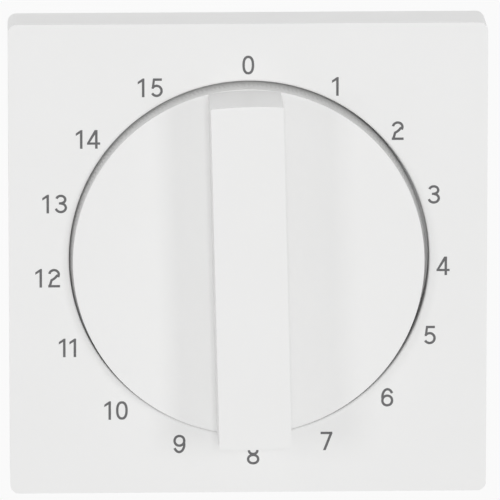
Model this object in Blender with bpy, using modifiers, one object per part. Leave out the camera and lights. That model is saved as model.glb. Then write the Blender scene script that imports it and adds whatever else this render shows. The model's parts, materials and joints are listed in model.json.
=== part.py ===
"""Flush-mounted rotary timer switch: cover, knob, clockwork and two-pole switch.

The front faces -Y and +Z is up. The origin is on the knob's axis in the wall
plane, on which the support frame's feet rest. Lengths are in metres, and places
along the axis are given as Y, so they grow from the knob into the wall.
"""

import math

import bmesh
import bpy
from mathutils import Matrix, Vector

# Clearances
SEAT_GAP = 0.0002
FIT_GAP = 0.00012
RUN_GAP = 0.0003

# Cover plate
PLATE_SIDE = 0.0700
PLATE_DEPTH = 0.0097
PLATE_CORNER = 0.0013
PLATE_EDGE = 0.0004
PLATE_WALL = 0.0020
PLATE_FRONT_WALL = 0.0018
WELL_DEPTH = 0.0045
WELL_WALL = 0.0015
WELL_FLOOR = 0.0015
WELL_GAP = 0.0007
PLATE_RIB = 0.0012
COVER_BOSS_RADIUS = 0.0036
COVER_SCREW_OFFSET = 0.0200
COVER_SCREW_RADIUS = 0.0015
COVER_SCREW_HEAD = 0.0028

# Knob
KNOB_RADIUS = 0.0257
KNOB_PROUD = 0.0025
KNOB_LIFT = 0.0004
KNOB_EDGE = 0.0005
KNOB_WALL = 0.0018
KNOB_FRONT_WALL = 0.0016
KNOB_REST_ANGLE = math.radians(-1.4)
BAR_WIDTH = 0.0105
BAR_PROUD = 0.0145
BAR_EDGE = 0.0009
BAR_WALL = 0.0016
HUB_RADIUS = 0.0046
KNOB_RIB = 0.0012
KNOB_RIB_DEPTH = 0.0030
CLIP_WIRE = 0.0008
CLIP_GROOVE = 0.0003
CLIP_OPENING = math.radians(50)
RIB_ROOT = 0.0003

# Support frame
FRAME_THICKNESS = 0.0012
FRAME_CHAMFER = 0.0040
BOX_PITCH = 0.0600
SLOT_WIDTH = 0.0039
SLOT_LENGTH = 0.0090
SLOT_LAND = 0.00205
FOOT_HEIGHT = 0.0003
FOOT_LENGTH = 0.0090
FOOT_WIDTH = 0.0046
FOOT_WALL = 0.0006
FOOT_LAND = 0.0030

# Case
CASE_WALL = 0.0015
CASE_FIT = 0.0005
CASE_CHAMFER = 0.0070
COLUMN_RADIUS = 0.0030
COLLAR_RADIUS = 0.0086
COLLAR_HEIGHT = 0.0010
CASE_SCREW_RADIUS = 0.00125
CASE_SCREW_HEAD = 0.00225
CASE_SCREW_RECESS = 0.0020
BARRIER_WALL = 0.0012
CASE_EDGE = 0.0006

# Clockwork
MOVEMENT_PLATE = 0.0010
LAYER_GAP = 0.0012
SPRING_WIDTH = 0.0035
SPRING_STRIP = 0.00035
SPRING_TURNS = 5
SPRING_PITCH = 0.00155
SPRING_POST_RADIUS = 0.0008
SPRING_HOOK = math.radians(220)
CLUTCH_THICKNESS = 0.0002
CLUTCH_WIDTH = 0.00173
CLUTCH_DISH = 0.0003
PILLAR_RADIUS = 0.0016
PILLAR_TENON = 0.0008
PILLAR_EDGE = 0.0015
SHAFT_RADIUS = 0.0030
SHAFT_FLAT = 0.0024
SHAFT_REACH = 0.0025
SPRING_SEAT_RADIUS = 0.0026
FRONT_JOURNAL_RADIUS = 0.0021
REAR_JOURNAL_RADIUS = 0.0018
REAR_FLAT = 0.0013
ARBOR_RADIUS = 0.0008
PIVOT_RADIUS = 0.00045

# Gear train
PRESSURE_ANGLE = math.radians(20)
BACKLASH = 0.00008
MESH_GAP = 0.00005
WHEEL_ADDENDUM = 0.80
PINION_ADDENDUM = 0.85
DEDENDUM = 1.20
UNDERCUT = 0.10
PINION_LEAVES = 10
PINION_OVERLAP = 0.0004
MAIN_TEETH = 60
MAIN_MODULE = 0.00040
MAIN_THICKNESS = 0.0010
SECOND_TEETH = 38
SECOND_MODULE = 0.00035
SECOND_THICKNESS = 0.0008
SECOND_DIRECTION = math.radians(90)
THIRD_TEETH = 44
THIRD_MODULE = 0.00030
THIRD_THICKNESS = 0.0008
THIRD_DIRECTION = math.radians(-15)
WHEEL_SPOKES = 4
SPOKE_WIDTH = 0.0013
WHEEL_RIM = 0.0011
WHEEL_BOSS = 0.0010
ESCAPE_TEETH = 15
ESCAPE_RADIUS = 0.0045
ESCAPE_TOOTH = 0.0011
ESCAPE_TIP_START = 0.60
ESCAPE_TIP_END = 0.72
ESCAPE_HOOK = 0.62
ESCAPE_DIRECTION = math.radians(-40)
PALLET_DIRECTION = math.radians(-80)
PALLET_REACH = 0.0020
PALLET_SPAN = math.radians(42)
PALLET_BAND = 0.0009
PALLET_CLEARANCE = 0.0004
PALLET_HUB_RADIUS = 0.0014
BALANCE_HALF_LENGTH = 0.0045
BALANCE_WIDTH = 0.0026

# Switch
CAM_RADIUS = 0.0110
CAM_TRACK = 0.0015
CAM_NECK_DEPTH = 0.0014
CAM_NECK = 0.0003
CAM_GAP = 0.0014
NOTCH_DEPTH = 0.0012
NOTCH_FLOOR = 0.0012
NOSE_TIP = 0.0003
NOSE_GAP = 0.00015
TURN_RANGE = math.radians(330)
STOP_PIN_RADIUS = 0.0008
STOP_CIRCLE = 0.0085
STOP_SLACK = math.radians(1.2)
LUG_WIDTH = 0.0016
LUG_LENGTH = 0.00098
LEAF_THICKNESS = 0.0004
LEAF_CLEARANCE = 0.0020
CONTACT_THICKNESS = 0.0005
CONTACT_TRAVEL = 0.0009
CONTACT_HEIGHT = 0.0088
BUTTON_RADIUS = 0.0012
BUTTON_HEIGHT = 0.0005
TERMINAL_WIDTH = 0.0070
TERMINAL_HEIGHT = 0.0065
TERMINAL_DEPTH = 0.0070
TERMINAL_GRIP = 0.0014
STRIP_END = 0.0016
WIRE_HOLE_RADIUS = 0.0016
WIRE_HOLE_WALL = 0.0022
WIRE_LEAD_IN = 0.0007
TERMINAL_SCREW_RADIUS = 0.00125
TERMINAL_SCREW_HEAD = 0.0022
SCREW_HEAD_HEIGHT = 0.0016
DRIVER_PORT_RADIUS = 0.0019
DRIVER_SLOT = 0.0006

# Facets
LARGE_STEPS = 64
HOLLOW_STEPS = 44
MEDIUM_STEPS = 20
SMALL_STEPS = 12
KNOB_SIDE_STEPS = 26
CAM_STEPS = 44
COLUMN_STEPS = 10
END_STEPS = 4
RIM_STEPS = 2
BAR_RIM_STEPS = 3
CASE_RIM_STEPS = 1
SLOT_STEPS = 6
LUG_STEPS = 3
HOOK_STEPS = 8
FLANK_STEPS = 1
SPOKE_STEPS = 3
SPRING_STEPS = 14
CLIP_STEPS = 14
SMOOTH_ANGLE = math.radians(35)
FLAT_ANGLE = math.radians(0.2)

# A 2D curve's fill merges points less than 0.03 units apart, so outlines are
# drawn in millimetres and scaled back to metres.
DRAW_SCALE = 1000.0
WELD_DISTANCE = 1e-7
BEYOND = 0.0010
BITE = 0.0003

FACE_FRONT = math.radians(90)
DIAGONAL = math.sqrt(2)

MATERIALS = {
    "white_plastic": ((0.80, 0.80, 0.79), 0.35, 0.0),
    "grey_plastic": ((0.30, 0.31, 0.32), 0.50, 0.0),
    "natural_plastic": ((0.72, 0.69, 0.60), 0.45, 0.0),
    "zinc_steel": ((0.62, 0.63, 0.64), 0.35, 1.0),
    "bright_steel": ((0.70, 0.71, 0.72), 0.22, 1.0),
    "spring_steel": ((0.38, 0.41, 0.46), 0.30, 1.0),
    "brass": ((0.78, 0.60, 0.28), 0.30, 1.0),
    "contact_bronze": ((0.72, 0.45, 0.25), 0.32, 1.0),
}


def polar(centre, radius, angle):
    return (centre[0] + radius * math.cos(angle), centre[1] + radius * math.sin(angle))


# Places along the axis
FRAME_REAR = -FOOT_HEIGHT
FRAME_FRONT = FRAME_REAR - FRAME_THICKNESS
PLATE_REAR = FRAME_FRONT - SEAT_GAP
PLATE_FRONT = PLATE_REAR - PLATE_DEPTH
WELL_FLOOR_FRONT = PLATE_FRONT + WELL_DEPTH
WELL_FLOOR_REAR = WELL_FLOOR_FRONT + WELL_FLOOR
DISC_FRONT = PLATE_FRONT - KNOB_PROUD
DISC_REAR = WELL_FLOOR_FRONT - KNOB_LIFT
BAR_FRONT = PLATE_FRONT - BAR_PROUD
SHAFT_FRONT = BAR_FRONT + KNOB_FRONT_WALL + SHAFT_REACH
CASE_FRONT = FRAME_REAR + SEAT_GAP
FRONT_PLATE = CASE_FRONT + CASE_WALL + RUN_GAP
SPRING_FRONT = FRONT_PLATE + MOVEMENT_PLATE + LAYER_GAP / 2
MAIN_FRONT = SPRING_FRONT + SPRING_WIDTH + LAYER_GAP
SECOND_FRONT = MAIN_FRONT + MAIN_THICKNESS + LAYER_GAP
THIRD_FRONT = SECOND_FRONT + SECOND_THICKNESS + LAYER_GAP
REAR_PLATE = THIRD_FRONT + THIRD_THICKNESS + LAYER_GAP
REAR_PLATE_END = REAR_PLATE + MOVEMENT_PLATE
CASE_SPLIT = REAR_PLATE_END + SEAT_GAP
CAM_FRONT = REAR_PLATE_END + CAM_GAP
CAM_SECOND_TRACK = CAM_FRONT + CAM_TRACK + CAM_NECK
CAM_REAR = CAM_SECOND_TRACK + CAM_TRACK
SHAFT_REAR = CAM_REAR + RUN_GAP
TERMINAL_FRONT = SHAFT_REAR + RUN_GAP
TERMINAL_REAR = TERMINAL_FRONT + TERMINAL_DEPTH
CASE_REAR_INNER = TERMINAL_REAR + RUN_GAP
CASE_REAR = CASE_REAR_INNER + CASE_WALL

# Places across the axis
QUADRANTS = ((-1, 1), (1, 1), (1, -1), (-1, -1))
WELL_RADIUS = KNOB_RADIUS + WELL_GAP
FRAME_HALF = BOX_PITCH / 2 + SLOT_WIDTH / 2 + SLOT_LAND
FOOT_Z = FRAME_HALF - FOOT_LAND - FOOT_WIDTH / 2
FOOT_X = FRAME_HALF - FRAME_CHAMFER - FOOT_LENGTH / 2


def mesh_distance(teeth, module):
    """Centre distance of a wheel and the pinion that it drives."""
    return (teeth + PINION_LEAVES) * module / 2 + MESH_GAP


SHAFT_AXIS = (0.0, 0.0)
SECOND_AXIS = polar(SHAFT_AXIS, mesh_distance(MAIN_TEETH, MAIN_MODULE), SECOND_DIRECTION)
THIRD_AXIS = polar(SECOND_AXIS, mesh_distance(SECOND_TEETH, SECOND_MODULE), THIRD_DIRECTION)
ESCAPE_AXIS = polar(THIRD_AXIS, mesh_distance(THIRD_TEETH, THIRD_MODULE), ESCAPE_DIRECTION)
PALLET_AXIS = polar(ESCAPE_AXIS, ESCAPE_RADIUS + PALLET_REACH, PALLET_DIRECTION)
ARBOR_AXES = (SECOND_AXIS, THIRD_AXIS, ESCAPE_AXIS, PALLET_AXIS)

SECOND_TIP_RADIUS = (SECOND_TEETH / 2 + WHEEL_ADDENDUM) * SECOND_MODULE
MOVEMENT_HALF = SECOND_AXIS[1] + SECOND_TIP_RADIUS
LEAF_X = CAM_RADIUS + LEAF_CLEARANCE + LEAF_THICKNESS / 2
LEAF_OUTER_X = LEAF_X + LEAF_THICKNESS
COLUMN_SEAT = CASE_CHAMFER / 2 + COLUMN_RADIUS / DIAGONAL + SEAT_GAP
CASE_HALF = max(
    MOVEMENT_HALF + CASE_FIT + CASE_WALL,
    LEAF_OUTER_X + RUN_GAP + COLUMN_RADIUS + COLUMN_SEAT,
)
CASE_INNER = CASE_HALF - CASE_WALL
COLUMN_OFFSET = CASE_HALF - COLUMN_SEAT
COLUMNS = [(x * COLUMN_OFFSET, z * COLUMN_OFFSET) for x, z in QUADRANTS]
MOVEMENT_CORNER = COLUMN_OFFSET - (COLUMN_RADIUS + RUN_GAP) / DIAGONAL
PILLAR_OFFSET = MOVEMENT_CORNER - PILLAR_EDGE
PILLARS = [(x * PILLAR_OFFSET, z * PILLAR_OFFSET) for x, z in ((-1, 1), (1, -1), (-1, -1))]

SPRING_INNER = SPRING_SEAT_RADIUS + FIT_GAP + SPRING_STRIP / 2
SPRING_OUTER = SPRING_INNER + SPRING_TURNS * SPRING_PITCH
SPRING_CURL = SPRING_POST_RADIUS + FIT_GAP + SPRING_STRIP / 2
SPRING_POST_AXIS = (-(SPRING_OUTER + SPRING_CURL), 0.0)

TERMINAL_OUTER_X = LEAF_X - LEAF_THICKNESS / 2 - SEAT_GAP
TERMINAL_X = TERMINAL_OUTER_X - TERMINAL_WIDTH / 2
TERMINAL_TOP = CASE_INNER - RUN_GAP - SCREW_HEAD_HEIGHT - SEAT_GAP
TERMINAL_SCREW_Y = TERMINAL_FRONT + TERMINAL_DEPTH / 2
WIRE_HOLE_Z = TERMINAL_TOP - TERMINAL_HEIGHT + WIRE_HOLE_WALL + WIRE_HOLE_RADIUS / 2
LEAF_REAR = TERMINAL_FRONT + TERMINAL_GRIP


def clear_scene():
    for obj in list(bpy.data.objects):
        bpy.data.objects.remove(obj, do_unlink=True)


def new_collection(name):
    collection = bpy.data.collections.new(name)
    bpy.context.scene.collection.children.link(collection)
    return collection


def new_material(name):
    color, roughness, metallic = MATERIALS[name]
    material = bpy.data.materials.new(name)
    material.use_nodes = True
    material.diffuse_color = (*color, 1.0)
    shader = material.node_tree.nodes["Principled BSDF"]
    shader.inputs["Base Color"].default_value = (*color, 1.0)
    shader.inputs["Roughness"].default_value = roughness
    shader.inputs["Metallic"].default_value = metallic
    return material


clear_scene()
PIECES = new_collection("rotary_timer_switch")
CUTTERS = new_collection("cutters")
FINISHES = {name: new_material(name) for name in MATERIALS}


def piece(obj, finish):
    """Make an object one of the product's pieces."""
    PIECES.objects.link(obj)
    obj.data.materials.append(FINISHES[finish])
    obj.data.shade_smooth()
    obj.data.set_sharp_from_angle(angle=SMOOTH_ANGLE)
    return obj


def shape_with(target, operation, tools, solver="EXACT"):
    for tool in tools:
        CUTTERS.objects.link(tool)
        tool.hide_render = True
        tool.display_type = "WIRE"
        modifier = target.modifiers.new(tool.name, "BOOLEAN")
        modifier.operation = operation
        modifier.solver = solver
        modifier.object = tool


def join(target, *tools):
    shape_with(target, "UNION", tools)


def cut(target, *tools):
    shape_with(target, "DIFFERENCE", tools)


def slab(name, loops, y_front, y_rear, centre=(0.0, 0.0)):
    """A flat outline with holes, from loops of (x, z) points, as thick as y_front to y_rear.

    The first loop is the outline and the others are its holes, all given from the
    centre, which becomes the object's origin.
    """
    curve = bpy.data.curves.new(name, "CURVE")
    curve.dimensions = "2D"
    curve.fill_mode = "BOTH"
    curve.extrude = (y_rear - y_front) / 2 * DRAW_SCALE
    for loop in loops:
        spline = curve.splines.new("POLY")
        spline.points.add(len(loop) - 1)
        for point, (x, z) in zip(spline.points, loop):
            point.co = (x * DRAW_SCALE, z * DRAW_SCALE, 0.0, 1.0)
        spline.use_cyclic_u = True
    drawing = bpy.data.objects.new(name + "_outline", curve)
    bpy.context.scene.collection.objects.link(drawing)
    evaluated = drawing.evaluated_get(bpy.context.evaluated_depsgraph_get())
    mesh = bpy.data.meshes.new_from_object(evaluated)
    mesh.name = name
    mesh.transform(Matrix.Scale(1 / DRAW_SCALE, 4))
    bpy.data.objects.remove(drawing, do_unlink=True)
    bpy.data.curves.remove(curve)
    edit = bmesh.new()
    edit.from_mesh(mesh)
    bmesh.ops.remove_doubles(edit, verts=edit.verts, dist=WELD_DISTANCE)
    bmesh.ops.dissolve_limit(edit, angle_limit=FLAT_ANGLE, verts=edit.verts, edges=edit.edges)
    edit.to_mesh(mesh)
    edit.free()
    obj = bpy.data.objects.new(name, mesh)
    obj.rotation_euler = (FACE_FRONT, 0.0, 0.0)
    obj.location = (centre[0], (y_front + y_rear) / 2, centre[1])
    return obj


def turned(name, profile, centre=(0.0, 0.0), steps=SMALL_STEPS, hollow=False):
    """A solid of revolution from (radius, y) points, front to rear on its outer side."""
    mesh = bpy.data.meshes.new(name)
    edit = bmesh.new()
    verts = [edit.verts.new((radius, 0.0, -y)) for radius, y in profile]
    for start, end in zip(verts, verts[1:]):
        edit.edges.new((start, end))
    if hollow:
        edit.edges.new((verts[-1], verts[0]))
    edit.to_mesh(mesh)
    edit.free()
    obj = bpy.data.objects.new(name, mesh)
    obj.rotation_euler = (FACE_FRONT, 0.0, 0.0)
    obj.location = (centre[0], 0.0, centre[1])
    screw = obj.modifiers.new("revolve", "SCREW")
    screw.axis = "Z"
    screw.steps = steps
    screw.render_steps = steps
    screw.use_merge_vertices = True
    screw.merge_threshold = WELD_DISTANCE
    return obj


def rod(name, radius, y_front, y_rear, centre=(0.0, 0.0), steps=SMALL_STEPS):
    profile = [(0.0, y_front), (radius, y_front), (radius, y_rear), (0.0, y_rear)]
    return turned(name, profile, centre, steps)


def box(name, low, high):
    """A block between two corners."""
    mesh = bpy.data.meshes.new(name)
    edit = bmesh.new()
    bmesh.ops.create_cube(edit, size=1.0)
    edit.to_mesh(mesh)
    edit.free()
    size = [b - a for a, b in zip(low, high)]
    mesh.transform(Matrix.Diagonal((*size, 1.0)))
    obj = bpy.data.objects.new(name, mesh)
    obj.location = [(a + b) / 2 for a, b in zip(low, high)]
    return obj


def upright_rod(name, radius, centre, z_low, z_high, steps=SMALL_STEPS):
    """A cylinder along Z at an (x, y) centre."""
    mesh = bpy.data.meshes.new(name)
    edit = bmesh.new()
    bmesh.ops.create_cone(
        edit,
        cap_ends=True,
        segments=steps,
        radius1=radius,
        radius2=radius,
        depth=z_high - z_low,
    )
    edit.to_mesh(mesh)
    edit.free()
    obj = bpy.data.objects.new(name, mesh)
    obj.location = (centre[0], centre[1], (z_low + z_high) / 2)
    return obj


def arc(centre, radius, start, end, steps):
    return [
        polar(centre, radius, start + (end - start) * step / steps) for step in range(steps + 1)
    ]


def circle(radius, steps=SMALL_STEPS, centre=(0.0, 0.0)):
    return arc(centre, radius, 0.0, math.tau * (steps - 1) / steps, steps - 1)


def rounded_square(half, radius, steps):
    loop = []
    for quarter in range(4):
        start = quarter * math.pi / 2
        corner = polar((0.0, 0.0), (half - radius) * DIAGONAL, start + math.pi / 4)
        loop += arc(corner, radius, start, start + math.pi / 2, steps)
    return loop


def chamfered_square(half, chamfer):
    side = half - chamfer
    first = [(half, side), (side, half)]
    loop = []
    for quarter in range(4):
        turn = Matrix.Rotation(quarter * math.pi / 2, 2)
        loop += [tuple(turn @ Vector(point)) for point in first]
    return loop


def slot_loop(centre, length, width, angle, steps):
    """A round-ended slot."""
    reach = (length - width) / 2
    loop = []
    for end in (0.0, math.pi):
        middle = polar(centre, reach, angle + end)
        start = angle + end - math.pi / 2
        loop += arc(middle, width / 2, start, start + math.pi, steps)
    return loop


def band_loop(path, thickness):
    """The outline of a band of even thickness along a path of (x, z) points."""
    points = [Vector(point) for point in path]
    last = len(points) - 1
    left = []
    right = []
    for index, point in enumerate(points):
        ahead = (points[min(index + 1, last)] - point).normalized()
        behind = (point - points[max(index - 1, 0)]).normalized()
        along = (ahead + behind).normalized()
        mitre = max(along.dot(ahead), along.dot(behind))
        across = Vector((-along.y, along.x)) * (thickness / 2 / mitre)
        left.append(tuple(point + across))
        right.append(tuple(point - across))
    return left[::-1] + right


def round_rim(obj, radius, steps, way=1):
    """Bevel the rim of a slab's front face, or with way -1 that of its rear face."""
    mesh = obj.data
    face = max(way * vertex.co.z for vertex in mesh.vertices)
    weights = mesh.attributes.new("bevel_weight_edge", "FLOAT", "EDGE")
    for edge in mesh.edges:
        ends = [way * mesh.vertices[index].co.z for index in edge.vertices]
        weights.data[edge.index].value = float(min(ends) > face - WELD_DISTANCE)
    bevel = obj.modifiers.new("rounded_rim", "BEVEL")
    bevel.limit_method = "WEIGHT"
    bevel.width = radius
    bevel.segments = steps


def make_cover_plate():
    well_outer = WELL_RADIUS + WELL_WALL
    inner_half = PLATE_SIDE / 2 - PLATE_WALL
    inner_corner = max(PLATE_CORNER - PLATE_WALL, PLATE_EDGE)
    plate = slab(
        "cover_plate",
        [rounded_square(PLATE_SIDE / 2, PLATE_CORNER, END_STEPS)],
        PLATE_FRONT,
        PLATE_REAR,
    )
    round_rim(plate, PLATE_EDGE, RIM_STEPS)
    piece(plate, "white_plastic")
    hollow = slab(
        "cover_hollow",
        [rounded_square(inner_half, inner_corner, RIM_STEPS)],
        PLATE_FRONT + PLATE_FRONT_WALL,
        PLATE_REAR + BEYOND,
    )
    well_wall = rod(
        "cover_well_wall", well_outer, PLATE_FRONT, PLATE_REAR + 2 * BEYOND, steps=HOLLOW_STEPS
    )
    cut(hollow, well_wall)
    bosses = [
        circle(COVER_BOSS_RADIUS, SMALL_STEPS, (side * COVER_SCREW_OFFSET, 0.0)) for side in (-1, 1)
    ]
    under_floor = slab(
        "cover_under_floor",
        [circle(well_outer + BITE, HOLLOW_STEPS), *bosses],
        WELL_FLOOR_REAR,
        PLATE_REAR + BEYOND,
    )
    well = rod("cover_well", WELL_RADIUS, PLATE_FRONT - BEYOND, WELL_FLOOR_FRONT, steps=LARGE_STEPS)
    shaft_hole = rod(
        "cover_shaft_hole", SHAFT_RADIUS + BEYOND, WELL_FLOOR_FRONT - BEYOND, PLATE_REAR
    )
    cut(plate, hollow, under_floor)
    for corner in range(4):
        angle = (corner + 0.5) * math.pi / 2
        start = polar((0.0, 0.0), well_outer - BITE, angle)
        end = polar((0.0, 0.0), (inner_half + BITE) * DIAGONAL, angle)
        rib = slab(
            "cover_rib_%d" % corner,
            [band_loop([start, end], PLATE_RIB)],
            PLATE_FRONT + PLATE_FRONT_WALL / 2,
            PLATE_REAR - PLATE_WALL,
        )
        join(plate, rib)
    cut(plate, well, shaft_hole)
    for name, side in (("left", -1), ("right", 1)):
        cut(
            plate,
            turned(
                "cover_screw_hole_" + name,
                countersunk_profile(FIT_GAP, WELL_FLOOR_FRONT - BEYOND, PLATE_REAR + BEYOND),
                (side * COVER_SCREW_OFFSET, 0.0),
            ),
        )


def countersunk_profile(gap, y_front, y_rear):
    """The outer side of a countersunk screw or of its hole, flush with the well floor."""
    head = COVER_SCREW_HEAD + gap
    shank = COVER_SCREW_RADIUS + gap
    return [
        (0.0, y_front),
        (head, y_front),
        (head, WELL_FLOOR_FRONT),
        (shank, WELL_FLOOR_FRONT + head - shank),
        (shank, y_rear),
        (0.0, y_rear),
    ]


def cut_driver_slots(screw, name, centre, y_face, length):
    """A cross recess in the face of a screw's head."""
    for way, (wide, high) in (("flat", (length, DRIVER_SLOT)), ("tall", (DRIVER_SLOT, length))):
        low = (centre[0] - wide / 2, y_face - BITE, centre[1] - high / 2)
        high_corner = (centre[0] + wide / 2, y_face + DRIVER_SLOT, centre[1] + high / 2)
        cut(screw, box(name + "_" + way, low, high_corner))


def make_cover_screws():
    face = WELL_FLOOR_FRONT + SEAT_GAP
    for name, side in (("left", -1), ("right", 1)):
        centre = (side * COVER_SCREW_OFFSET, 0.0)
        head = COVER_SCREW_HEAD - SEAT_GAP
        profile = [
            (0.0, face),
            (head, face),
            (COVER_SCREW_RADIUS, face + head - COVER_SCREW_RADIUS),
            (COVER_SCREW_RADIUS, FRAME_REAR - SEAT_GAP),
            (0.0, FRAME_REAR - SEAT_GAP),
        ]
        screw = piece(turned("cover_screw_" + name, profile, centre), "bright_steel")
        cut_driver_slots(screw, "cover_driver_" + name, centre, face, COVER_SCREW_HEAD)


def knob_loops():
    """Outlines of the disc and of the bar, which share their points at the bar's ends."""
    end_half_angle = math.asin(BAR_WIDTH / 2 / KNOB_RADIUS)
    ends = []
    sides = []
    for turn in (0.5, 1.5):
        low = turn * math.pi - end_half_angle
        high = turn * math.pi + end_half_angle
        ends.append(arc((0.0, 0.0), KNOB_RADIUS, low, high, END_STEPS))
        sides.append(arc((0.0, 0.0), KNOB_RADIUS, high, low + math.pi, KNOB_SIDE_STEPS)[1:-1])
    disc = ends[0] + sides[0] + ends[1] + sides[1]
    bar = ends[0] + ends[1]
    return disc, bar


def bar_pocket(half_width, radius):
    """The bar's hollow: straight sides and round ends."""
    reach = math.asin(half_width / radius)
    loop = []
    for turn in (0.5, 1.5):
        middle = turn * math.pi
        loop += arc((0.0, 0.0), radius, middle - reach, middle + reach, END_STEPS)
    return loop


def make_knob(pivot):
    disc_loop, bar_loop = knob_loops()
    inner_radius = KNOB_RADIUS - KNOB_WALL
    hub_rear = DISC_REAR - SEAT_GAP
    groove = clip_place()
    bore_radius = SHAFT_RADIUS + FIT_GAP
    bore_flat = SHAFT_FLAT + FIT_GAP
    disc_inner = DISC_FRONT + KNOB_FRONT_WALL
    knob = slab("knob", [disc_loop], DISC_FRONT, DISC_REAR)
    round_rim(knob, KNOB_EDGE, RIM_STEPS)
    piece(knob, "white_plastic")
    bar = slab("knob_bar", [bar_loop], BAR_FRONT, (DISC_FRONT + DISC_REAR) / 2)
    round_rim(bar, BAR_EDGE, BAR_RIM_STEPS)
    join(knob, bar)
    disc_hollow = rod(
        "knob_disc_hollow", inner_radius, disc_inner, DISC_REAR + BEYOND, steps=HOLLOW_STEPS
    )
    bar_hollow = slab(
        "knob_bar_hollow",
        [bar_pocket(BAR_WIDTH / 2 - BAR_WALL, inner_radius - BITE)],
        BAR_FRONT + KNOB_FRONT_WALL,
        disc_inner + BEYOND,
    )
    cut(knob, disc_hollow, bar_hollow)
    hub_front = BAR_FRONT + KNOB_FRONT_WALL / 2
    hub = rod("knob_hub", HUB_RADIUS, hub_front, hub_rear, steps=MEDIUM_STEPS)
    rib_reach = inner_radius + KNOB_WALL / 2
    rib_front = disc_inner - RIB_ROOT
    rib_rear = disc_inner + KNOB_RIB_DEPTH
    rib_flat = box(
        "knob_rib_flat",
        (-rib_reach, rib_front, -KNOB_RIB / 2),
        (rib_reach, rib_rear, KNOB_RIB / 2),
    )
    rib_long = box(
        "knob_rib_long",
        (-KNOB_RIB / 2, hub_front, -rib_reach),
        (KNOB_RIB / 2, rib_rear + RIB_ROOT, rib_reach),
    )
    join(knob, hub, rib_flat, rib_long)
    bore = slab(
        "knob_bore",
        [d_loop(bore_radius, bore_flat)],
        SHAFT_FRONT - RUN_GAP,
        hub_rear + BEYOND,
    )
    ring = [
        (HUB_RADIUS + BEYOND, groove - CLIP_WIRE / 2 - FIT_GAP),
        (HUB_RADIUS + BEYOND, groove + CLIP_WIRE / 2 + FIT_GAP),
        (HUB_RADIUS - CLIP_GROOVE, groove + CLIP_WIRE / 2 + FIT_GAP),
        (HUB_RADIUS - CLIP_GROOVE, groove - CLIP_WIRE / 2 - FIT_GAP),
    ]
    clip_groove = turned("knob_clip_groove", ring, steps=MEDIUM_STEPS, hollow=True)
    cut(knob, bore, clip_groove)
    parts = [knob, bar, disc_hollow, bar_hollow, hub, rib_flat, rib_long, bore, clip_groove]
    for obj in parts:
        obj.parent = pivot


def clip_place():
    """Y of the spring ring on the knob's hub."""
    return DISC_REAR - SEAT_GAP - CLIP_WIRE


def d_loop(radius, flat):
    """A circle with a flat at its top."""
    half = math.acos(flat / radius)
    return arc((0.0, 0.0), radius, math.pi / 2 + half, math.pi * 2.5 - half, MEDIUM_STEPS)


def make_knob_clip(pivot):
    radius = HUB_RADIUS - CLIP_GROOVE + FIT_GAP + CLIP_WIRE / 2
    start = math.pi / 2 + CLIP_OPENING / 2
    path = arc((0.0, 0.0), radius, start, start + math.tau - CLIP_OPENING, CLIP_STEPS)
    curve = bpy.data.curves.new("knob_clip", "CURVE")
    curve.dimensions = "3D"
    curve.bevel_depth = CLIP_WIRE / 2
    curve.bevel_resolution = 2
    curve.use_fill_caps = True
    spline = curve.splines.new("POLY")
    spline.points.add(len(path) - 1)
    for point, (x, z) in zip(spline.points, path):
        point.co = (x, z, 0.0, 1.0)
    clip = bpy.data.objects.new("knob_clip", curve)
    clip.rotation_euler = (FACE_FRONT, 0.0, 0.0)
    clip.location = (0.0, clip_place(), 0.0)
    clip.parent = pivot
    curve.materials.append(FINISHES["spring_steel"])
    PIECES.objects.link(clip)


def make_support_frame():
    half_pitch = BOX_PITCH / 2
    slots = [
        slot_loop((side * half_pitch, 0.0), SLOT_LENGTH, SLOT_WIDTH, math.pi / 2, SLOT_STEPS)
        for side in (-1, 1)
    ]
    slots += [
        slot_loop((0.0, side * half_pitch), SLOT_LENGTH, SLOT_WIDTH, 0.0, SLOT_STEPS)
        for side in (-1, 1)
    ]
    case_holes = [circle(CASE_SCREW_RADIUS + FIT_GAP, SMALL_STEPS, column) for column in COLUMNS]
    cover_holes = [
        circle(COVER_SCREW_RADIUS + FIT_GAP, SMALL_STEPS, (side * COVER_SCREW_OFFSET, 0.0))
        for side in (-1, 1)
    ]
    centre_hole = circle(COLLAR_RADIUS + RUN_GAP, MEDIUM_STEPS)
    outline = chamfered_square(FRAME_HALF, FRAME_CHAMFER)
    frame = slab(
        "support_frame",
        [outline, centre_hole, *slots, *case_holes, *cover_holes],
        FRAME_FRONT,
        FRAME_REAR,
    )
    piece(frame, "zinc_steel")
    for number, (x, z) in enumerate(QUADRANTS, 1):
        middle = (x * FOOT_X, z * FOOT_Z)
        foot = slab(
            "frame_foot_%d" % number,
            [slot_loop(middle, FOOT_LENGTH, FOOT_WIDTH, 0.0, END_STEPS)],
            FRAME_REAR - BITE,
            0.0,
        )
        inner_length = FOOT_LENGTH - 2 * FOOT_WALL
        inner_width = FOOT_WIDTH - 2 * FOOT_WALL
        dimple = slab(
            "frame_dimple_%d" % number,
            [slot_loop(middle, inner_length, inner_width, 0.0, END_STEPS)],
            FRAME_FRONT - BEYOND,
            FRAME_FRONT + FOOT_HEIGHT,
        )
        join(frame, foot)
        cut(frame, dimple)


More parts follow.
